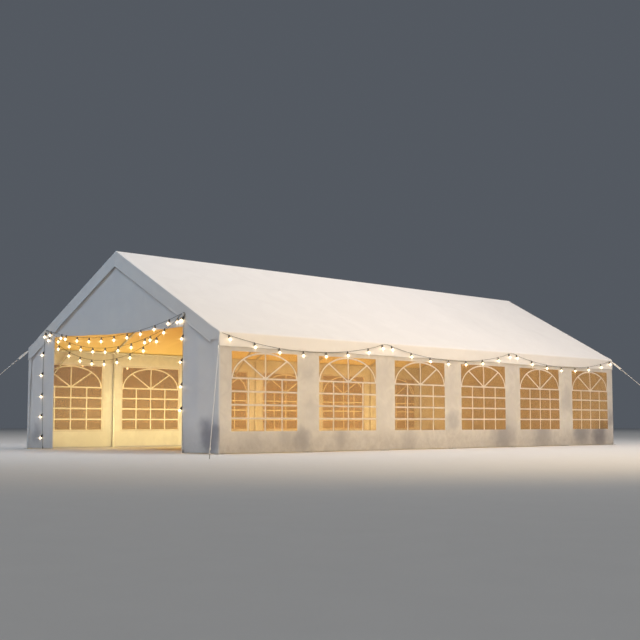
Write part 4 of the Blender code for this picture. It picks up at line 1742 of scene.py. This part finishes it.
def guy_rope(end, side, toward, sign):
    """A rope knotted to the ring of its corner strap, with a loop round its peg."""
    corner, peg, way, across = rope_line(toward, sign)
    reach = PEG_RADIUS + ROPE_RADIUS
    ring_end = corner + way * (STRAP_LENGTH + 0.034)
    stop = peg - way * 0.10
    points = [ring_end.lerp(stop, share) for share in steps(0, 1, 10)]
    level = Vector((way.x, way.y, 0)).normalized()
    for angle in steps(-60, 240, 10):
        turn = math.radians(angle)
        ring = across * math.cos(turn) + level * math.sin(turn)
        points.append(peg + ring * reach)
    points.append(stop + across * 0.006 + way * 0.02)
    tail = [ring_end + way * along + across * aside for along, aside in ROPE_TAIL]
    pieces = [tube_mesh("rope", line, ROPE_RADIUS, sides=8) for line in (points, tail)]
    for place in (ring_end + way * 0.11, stop):
        pieces.append(stand(turned_shape(KNOT_RINGS, 12), place, place + way))
    settle(joined(pieces), f"{end}_{side}_rope", ROPE, "white_rope", [f"{end}_{side}_guy_rope"])


def corner_strap(end, side, toward, sign):
    """A folded webbing strap sewn to the cover's corner, with the steel ring that it holds."""
    corner, peg, way, across = rope_line(toward, sign)
    upright = across.cross(way).normalized()

    def folded(share, u):
        half = STRAP_WIDTH / 2 * (0.55 + 0.45 * smooth_step(0.0, 0.35, share))
        middle = corner + way * STRAP_LENGTH * share
        pinch = across * 0.004 * (1 - u * u) * (1 - share)
        return middle + upright * half * u + pinch, (u * half, STRAP_LENGTH * share)

    strap = bmesh.new()
    layer = strap.loops.layers.uv.new("cloth")
    fill_patch(strap, layer, grid(steps(-0.04, 1, 14), steps(-1, 1, 4), folded))
    webbing = mesh_piece("strap", strap)
    apply_modifier(webbing, "SOLIDIFY", thickness=STRAP_THICKNESS, offset=0)
    settle(webbing, f"{end}_{side}_corner_strap", WEBBING, "white_rope", angle=50)
    bpy.ops.mesh.primitive_torus_add(
        major_radius=0.021, minor_radius=0.0028, major_segments=28, minor_segments=10
    )
    ring = bpy.context.object
    ring.data.transform(Matrix.Diagonal((1.25, 0.95, 1, 1)))
    centre = corner + way * (STRAP_LENGTH + 0.012)
    turn = Matrix((upright, way, across)).transposed().to_4x4()
    ring.data.transform(Matrix.Translation(centre) @ turn)
    ring.data.update()
    faces_outwards(ring)
    settle(ring, f"{end}_{side}_strap_ring", BARE_STEEL, "bare_steel")


def peg_hook(end, side, toward, sign):
    """A ground peg whose head is bent over, away from the tent."""
    away = Vector((sign * ROPE_RUN[0], toward * ROPE_RUN[1], 0)).normalized()
    shoulder = PEG_HEIGHT - PEG_HOOK_RADIUS
    centre = peg_place(toward, sign, shoulder) + away * PEG_HOOK_RADIUS
    points = [peg_place(toward, sign, z) for z in steps(0.0, shoulder, 4)]
    for turn in steps(math.pi, 0, 10)[1:]:
        bend = away * math.cos(turn) + Vector((0, 0, math.sin(turn)))
        points.append(centre + bend * PEG_HOOK_RADIUS)
    peg = tube_mesh("peg", points, PEG_RADIUS, sides=14)
    settle(peg, f"{end}_{side}_ground_peg", BARE_STEEL, "bare_steel", [f"{end}_{side}_peg"])


def guy_ropes():
    for side, sign in SIDES.items():
        for end, toward in ENDS.items():
            guy_rope(end, side, toward, sign)
            corner_strap(end, side, toward, sign)
            peg_hook(end, side, toward, sign)


# String lights
FORWARD = Vector((0, -1, 0))
LAMP_STEP = 0.02
HOLDER_RINGS = [
    (-0.054, 0.0165),
    (-0.052, 0.0190),
    (-0.044, 0.0195),
    (-0.042, 0.0178),
    (-0.020, 0.0168),
    (-0.017, 0.0145),
    (-0.009, 0.0110),
    (-0.006, 0.0090),
]
CLASP_RINGS = [(-0.010, 0.0075), (-0.006, CLASP_RADIUS), (0.004, 0.0080), (0.0070, 0.0048)]
GLASS_RINGS = [
    (-LAMP_LENGTH, 0.003),
    (-0.0965, 0.0090),
    (-0.0905, 0.0152),
    (-0.0820, BULB_RADIUS),
    (-0.0720, 0.0181),
    (-0.0630, 0.0156),
    (-0.0560, 0.0145),
    (-0.0500, 0.0135),
]
COUPLING_RINGS = [
    (-0.004, 0.0045),
    (0.0, 0.0064),
    (0.016, 0.0068),
    (0.019, 0.0081),
    (0.040, 0.0081),
    (0.043, 0.0068),
    (0.048, 0.0050),
]


def stood_off(place, outward, share):
    """The place moved off its wall, most in the middle of a run of cord."""
    return place + outward * CORD_STANDOFF * math.sin(math.pi * share)


def swag(start, end, sag, outward):
    """Points of a cord that hangs between two points and stands off its wall in the middle."""
    points = []
    for step in range(1, SWAG_POINTS):
        share = step / SWAG_POINTS
        place = start.lerp(end, share)
        place.z -= sag * 4 * share * (1 - share)
        points.append(stood_off(place, outward, share))
    return points


def side_route(sign):
    x = sign * (HALF_WIDTH + CORD_GAP + CORD_RADIUS)
    tops = [Vector((x, y, SIDE_HOOK_Z)) for y in SIDE_HOOKS]
    points = [tops[0]]
    for start, end in zip(tops, tops[1:]):
        points += swag(start, end, SIDE_SAG, Vector((sign, 0, 0)))
        points.append(end)
    return points


def turn_round(hook, sign, y, first, last):
    """Points of the cord's turn round a hook, by angles from straight up towards sign."""
    points = []
    for angle in steps(first, last, TURN_POINTS):
        x = hook.x + sign * FRONT_HOOK_TURN * math.sin(angle)
        points.append(Vector((x, y, hook.z + FRONT_HOOK_TURN * math.cos(angle))))
    return points


def drop(top):
    """Points of the cord from the side of a hook down to the ground."""
    points = []
    for share in steps(0, 1, DROP_POINTS)[1:]:
        place = Vector((top.x, top.y, top.z + (FRONT_CORD_END - top.z) * share))
        points.append(stood_off(place, FORWARD, share))
    return points


def front_hooks():
    """The middles of the left and the right hook on the front gable."""
    hooks = []
    for sign, inset, under in FRONT_HOOKS:
        x = sign * (HALF_WIDTH - inset)
        hooks.append(Vector((x, 0, roof_height(x, under))))
    return hooks


def front_route():
    """Up the left strip, three times across the doorway and down the right strip."""
    layers = [-(HALF_LENGTH + CORD_GAP + CORD_RADIUS + FRONT_LAYER * k) for k in range(3)]
    left, right = front_hooks()
    up, side, down = 0, math.pi / 2, math.pi
    turns = [
        turn_round(left, -1, layers[0], side, up),
        turn_round(right, 1, layers[0], up, down),
        turn_round(left, -1, layers[1], up, down),
        turn_round(right, 1, layers[2], up, side),
    ]
    points = list(reversed(drop(turns[0][0])))
    for turn, after, sag in zip(turns, turns[1:], FRONT_SAGS):
        points += turn
        points += swag(turn[-1], after[0], sag, FORWARD)
    return points + turns[-1] + drop(turns[-1][-1])


def smoothed(points, cuts=5):
    """The same route with smooth bends: handles follow the line between a point's neighbours."""
    made = [points[0]]
    for index in range(len(points) - 1):
        a, b = points[index], points[index + 1]
        before = points[max(index - 1, 0)]
        after = points[min(index + 2, len(points) - 1)]
        third = (b - a).length / 3
        out = (b - before).normalized() * third
        back = (after - a).normalized() * third
        made += interpolate_bezier(a, a + out, b - back, b, cuts + 1)[1:]
    return made


def at_distance(path, distance):
    """The place and the way of a path at a distance along it."""
    for a, b in zip(path, path[1:]):
        length = (b - a).length
        if distance <= length:
            return a.lerp(b, distance / length), (b - a).normalized()
        distance -= length
    return path[-1], (path[-1] - path[-2]).normalized()


def path_length(path):
    return distances_along(path)[-1]


def tilted(place, lean, spin):
    """The matrix that hangs a lamp at place, leaning by a vector added to straight down."""
    way = (Vector((0, 0, -1)) + lean).normalized()
    turn = (-way).to_track_quat("Z", "Y").to_matrix().to_4x4()
    return Matrix.Translation(place) @ turn @ Matrix.Rotation(spin, 4, "Z")


def hang_lamps(path, distances, outward):
    """The places of the lamps: each hangs down, leaning out as far as the cloth pushes it."""
    wall = abs(outward.dot(Vector((HALF_WIDTH, HALF_LENGTH, 0))))
    matrices = []
    for number, distance in enumerate(distances):
        place, way = at_distance(path, distance)
        standoff = abs(place.dot(outward)) - wall
        place = place + outward * max(CLASP_RADIUS - standoff, 0)
        need = BULB_RADIUS + 0.020 - standoff
        lean = outward * max(need, 0) / BULB_CENTRE
        if abs(way.z) > 0.8:
            level = outward.cross(Vector((0, 0, 1)))
            lean += level * (0.9 if number % 2 else 0.45) + outward * 0.15
        matrices.append(tilted(place, lean, number * 1.3))
    return matrices


def fine_places(path, step):
    """Places every step along a path, each with its distance."""
    count = int(path_length(path) / step)
    return [(at_distance(path, step * i)[0], step * i) for i in range(count + 1)]


def lamp_is_clear(matrix, distance, hooks, cords):
    """Whether a hung lamp stays off the knobs and off the other runs of its cord."""
    place = matrix.translation
    axis = -matrix.col[2].to_3d()
    for hook in hooks:
        if abs(place.x - hook.x) < KNOB_REACH and -0.045 < place.z - hook.z < 0.13:
            return False
    for other, reached in cords:
        if abs(reached - distance) < 0.2:
            continue
        away = other - place
        down = min(max(away.dot(axis), 0.0), LAMP_LENGTH)
        if (away - axis * down).length < BULB_RADIUS + CORD_RADIUS:
            return False
    return True


def cleared(path, distances, outward, hooks):
    """The lamps' distances along the cord, each moved on until its lamp hangs free."""
    cords = fine_places(path, 0.012)
    made = list(distances)
    for number in range(len(made)):
        for _ in range(12):
            matrix = hang_lamps(path, made, outward)[number]
            if lamp_is_clear(matrix, made[number], hooks, cords):
                break
            made[number] += LAMP_STEP
    return made


def lamp_holder():
    """A moulded holder that hangs under its cord, with a clasp round it and two ribs."""
    clasp = turned_shape(CLASP_RINGS, 10)
    return joined([turned_shape(HOLDER_RINGS, 14), clasp])


def cord_ends(name, path):
    """A sealed coupling on each end of the front lead."""
    matrices = []
    for end, inner in ((path[0], path[1]), (path[-1], path[-2])):
        matrices.append(stood_along(end, end + (end - inner)))
    ends = copied(turned_shape(COUPLING_RINGS, 12), matrices)
    return settle(ends, f"{name}_couplings", HOLDER, "light_cord")


def light_string(name, node, path, distances, outward, far_end):
    cord = tube_mesh("cord", path, CORD_RADIUS, sides=8)
    settle(cord, f"{name}_lead", CORD, "light_cord", [node])
    matrices = hang_lamps(path, distances, outward)
    holders = copied(lamp_holder(), matrices)
    settle(holders, f"{name}_lamp_holders", HOLDER, "light_cord")
    bulbs = copied(turned_shape(GLASS_RINGS, 14), matrices)
    settle(bulbs, f"{name}_bulbs", BULB, "lamp_bulb")
    pieces = [holders, bulbs]
    if far_end == "plug":
        pieces.append(cord_ends(name, path))
    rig.cord(
        cord,
        exit=path[0],
        length=path_length(path),
        diameter=2 * CORD_RADIUS,
        far_end=far_end,
        stiffness="limp",
        lay="hanging",
        path=path,
        with_pieces=pieces,
    )


def string_lights():
    in_swag = [SIDE_LAMP_FIRST + SIDE_LAMP_PITCH * i for i in range(SWAG_LAMPS - 1)]
    in_swag.append(SIDE_LAMP_LAST)
    for side, sign in SIDES.items():
        path = smoothed(side_route(sign))
        span = path_length(path) / SIDE_SWAGS
        distances = [span * number + along for number in range(SIDE_SWAGS) for along in in_swag]
        outward = Vector((sign, 0, 0))
        light_string(f"{side}_lights", f"{side}_light_cord", path, distances, outward, "object")
    path = smoothed(front_route())
    count = int((path_length(path) - 0.4) / LAMP_PITCH)
    distances = [0.22 + LAMP_PITCH * i for i in range(count)]
    distances = cleared(path, distances, FORWARD, front_hooks())
    light_string("front_lights", "front_light_cord", path, distances, FORWARD, "plug")


# The studio
def studio_floor():
    bpy.ops.mesh.primitive_plane_add(size=160, location=(0, 0, 0))
    floor = bpy.context.object
    floor.name = "studio_floor"
    made, tree, surface = new_material("studio_floor", 0.8)
    grain = noise_over(tree, object_place(tree), 3.0, 6.0).outputs["Fac"]
    colour = blend(tree, grain, (0.68, 0.68, 0.67, 1), (0.72, 0.72, 0.71, 1))
    tree.links.new(colour, surface.inputs["Base Color"])
    floor.data.materials.append(made)
    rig.stage(floor)


def area_light(name, place, target, size, power, colour, spread_angle=180):
    light = bpy.data.lights.new(name, "AREA")
    light.shape = "RECTANGLE"
    light.size, light.size_y = size
    light.energy = power
    light.color = colour
    light.spread = math.radians(spread_angle)
    lamp = linked(name, light)
    lamp.location = place
    lamp.rotation_euler = (Vector(target) - Vector(place)).to_track_quat("-Z", "Y").to_euler()
    lamp.visible_camera = False


def studio():
    studio_floor()
    world = bpy.data.worlds.new("studio")
    world.use_nodes = True
    sky = world.node_tree.nodes["Background"]
    sky.inputs["Color"].default_value = (0.37, 0.42, 0.50, 1)
    sky.inputs["Strength"].default_value = 0.24
    bpy.context.scene.world = world
    area_light("floor_fill", (0, 0, 32), (0, 0, 0), (80, 80), 8000, (0.98, 0.95, 0.91))
    area_light("roof_key", (9, 2.2, 20), (0.6, 1.8, 2.5), (9, 22), 700, (1.0, 0.94, 0.94), 80)
    area_light("wall_fill", (15, -3.5, 5.5), (2.9, -1.4, 1.4), (13, 3), 425, (1.0, 0.71, 0.37), 110)
    area_light("gable_fill", (-2.6, -13.5, 14.5), (0, -6, 1.8), (1.8, 1.4), 81, (0.45, 0.70, 1.0), 70)
    for side, power in (("left", 108), ("right", 35)):
        place = (SIDES[side] * 1.0, 0, 0.68)
        target = (SIDES[side] * 2.9, 0, 0.72)
        area_light(f"hall_{side}", place, target, (11, 0.9), power, (1.0, 0.79, 0.36), 110)
    area_light("hall_roof", (-1.15, -1.0, 0.5), (-1.15, -1.0, 3), (2.6, 9.8), 46, (1.0, 0.43, 0.05), 130)
    area_light("strip_left", (-2.1, -7.9, 0.8), (-2.4, -6, 1.15), (0.8, 1.4), 1.1, (1.0, 0.82, 0.74), 110)
    area_light("strip_right", (2.3, -7.9, 0.8), (2.45, -6, 1.15), (0.8, 1.4), 1.0, (1.0, 0.86, 0.84), 110)


def glare(tree, kind, **values):
    """A glare of this kind, of high quality, with its number inputs set."""
    made = tree.nodes.new("CompositorNodeGlare")
    made.glare_type = kind
    made.quality = "HIGH"
    for key, value in values.items():
        made.inputs[key].default_value = value
    return made


def lamp_glints():
    """Small four-pointed stars round the brightest points, which are the lit bulbs, and a halo."""
    scene = bpy.context.scene
    scene.use_nodes = True
    tree = scene.node_tree
    tree.nodes.clear()
    chain = [
        tree.nodes.new("CompositorNodeRLayers"),
        glare(tree, "SIMPLE_STAR", Threshold=1.3, Strength=0.55, Iterations=2, Fade=0.82, Diagonal=False),
        glare(tree, "BLOOM", Threshold=1.3, Strength=0.25, Size=0.3),
        tree.nodes.new("CompositorNodeComposite"),
    ]
    for before, after in zip(chain, chain[1:]):
        tree.links.new(before.outputs["Image"], after.inputs["Image"])


def camera():
    data = bpy.data.cameras.new("photo_view")
    data.sensor_width = 36
    data.lens = 63.94
    data.clip_end = 400
    view = linked("photo_view", data)
    view.location = (17.07, -17.758, 0.5055)
    view.rotation_euler = (math.pi / 2 + 0.0903, 0, 0.7881)
    bpy.context.scene.camera = view


camera()
string_lights()
legs()
rafters()
rails()
knee_braces()
roof_cover()
long_walls()
end_wall("front", -1, True)
end_wall("back", 1, False)
back_panel()
door_zips("front", -1, False)
door_zips("back", 1, True)
for side, sign in SIDES.items():
    wall_ties(side, sign)
light_hooks()
guy_ropes()
studio()
lamp_glints()
bpy.context.scene.view_settings.view_transform = "Standard"

with open("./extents.json", "w") as size_file:
    json.dump([[list(corner) for corner in cad_box], [list(corner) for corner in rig.bounds()]], size_file)
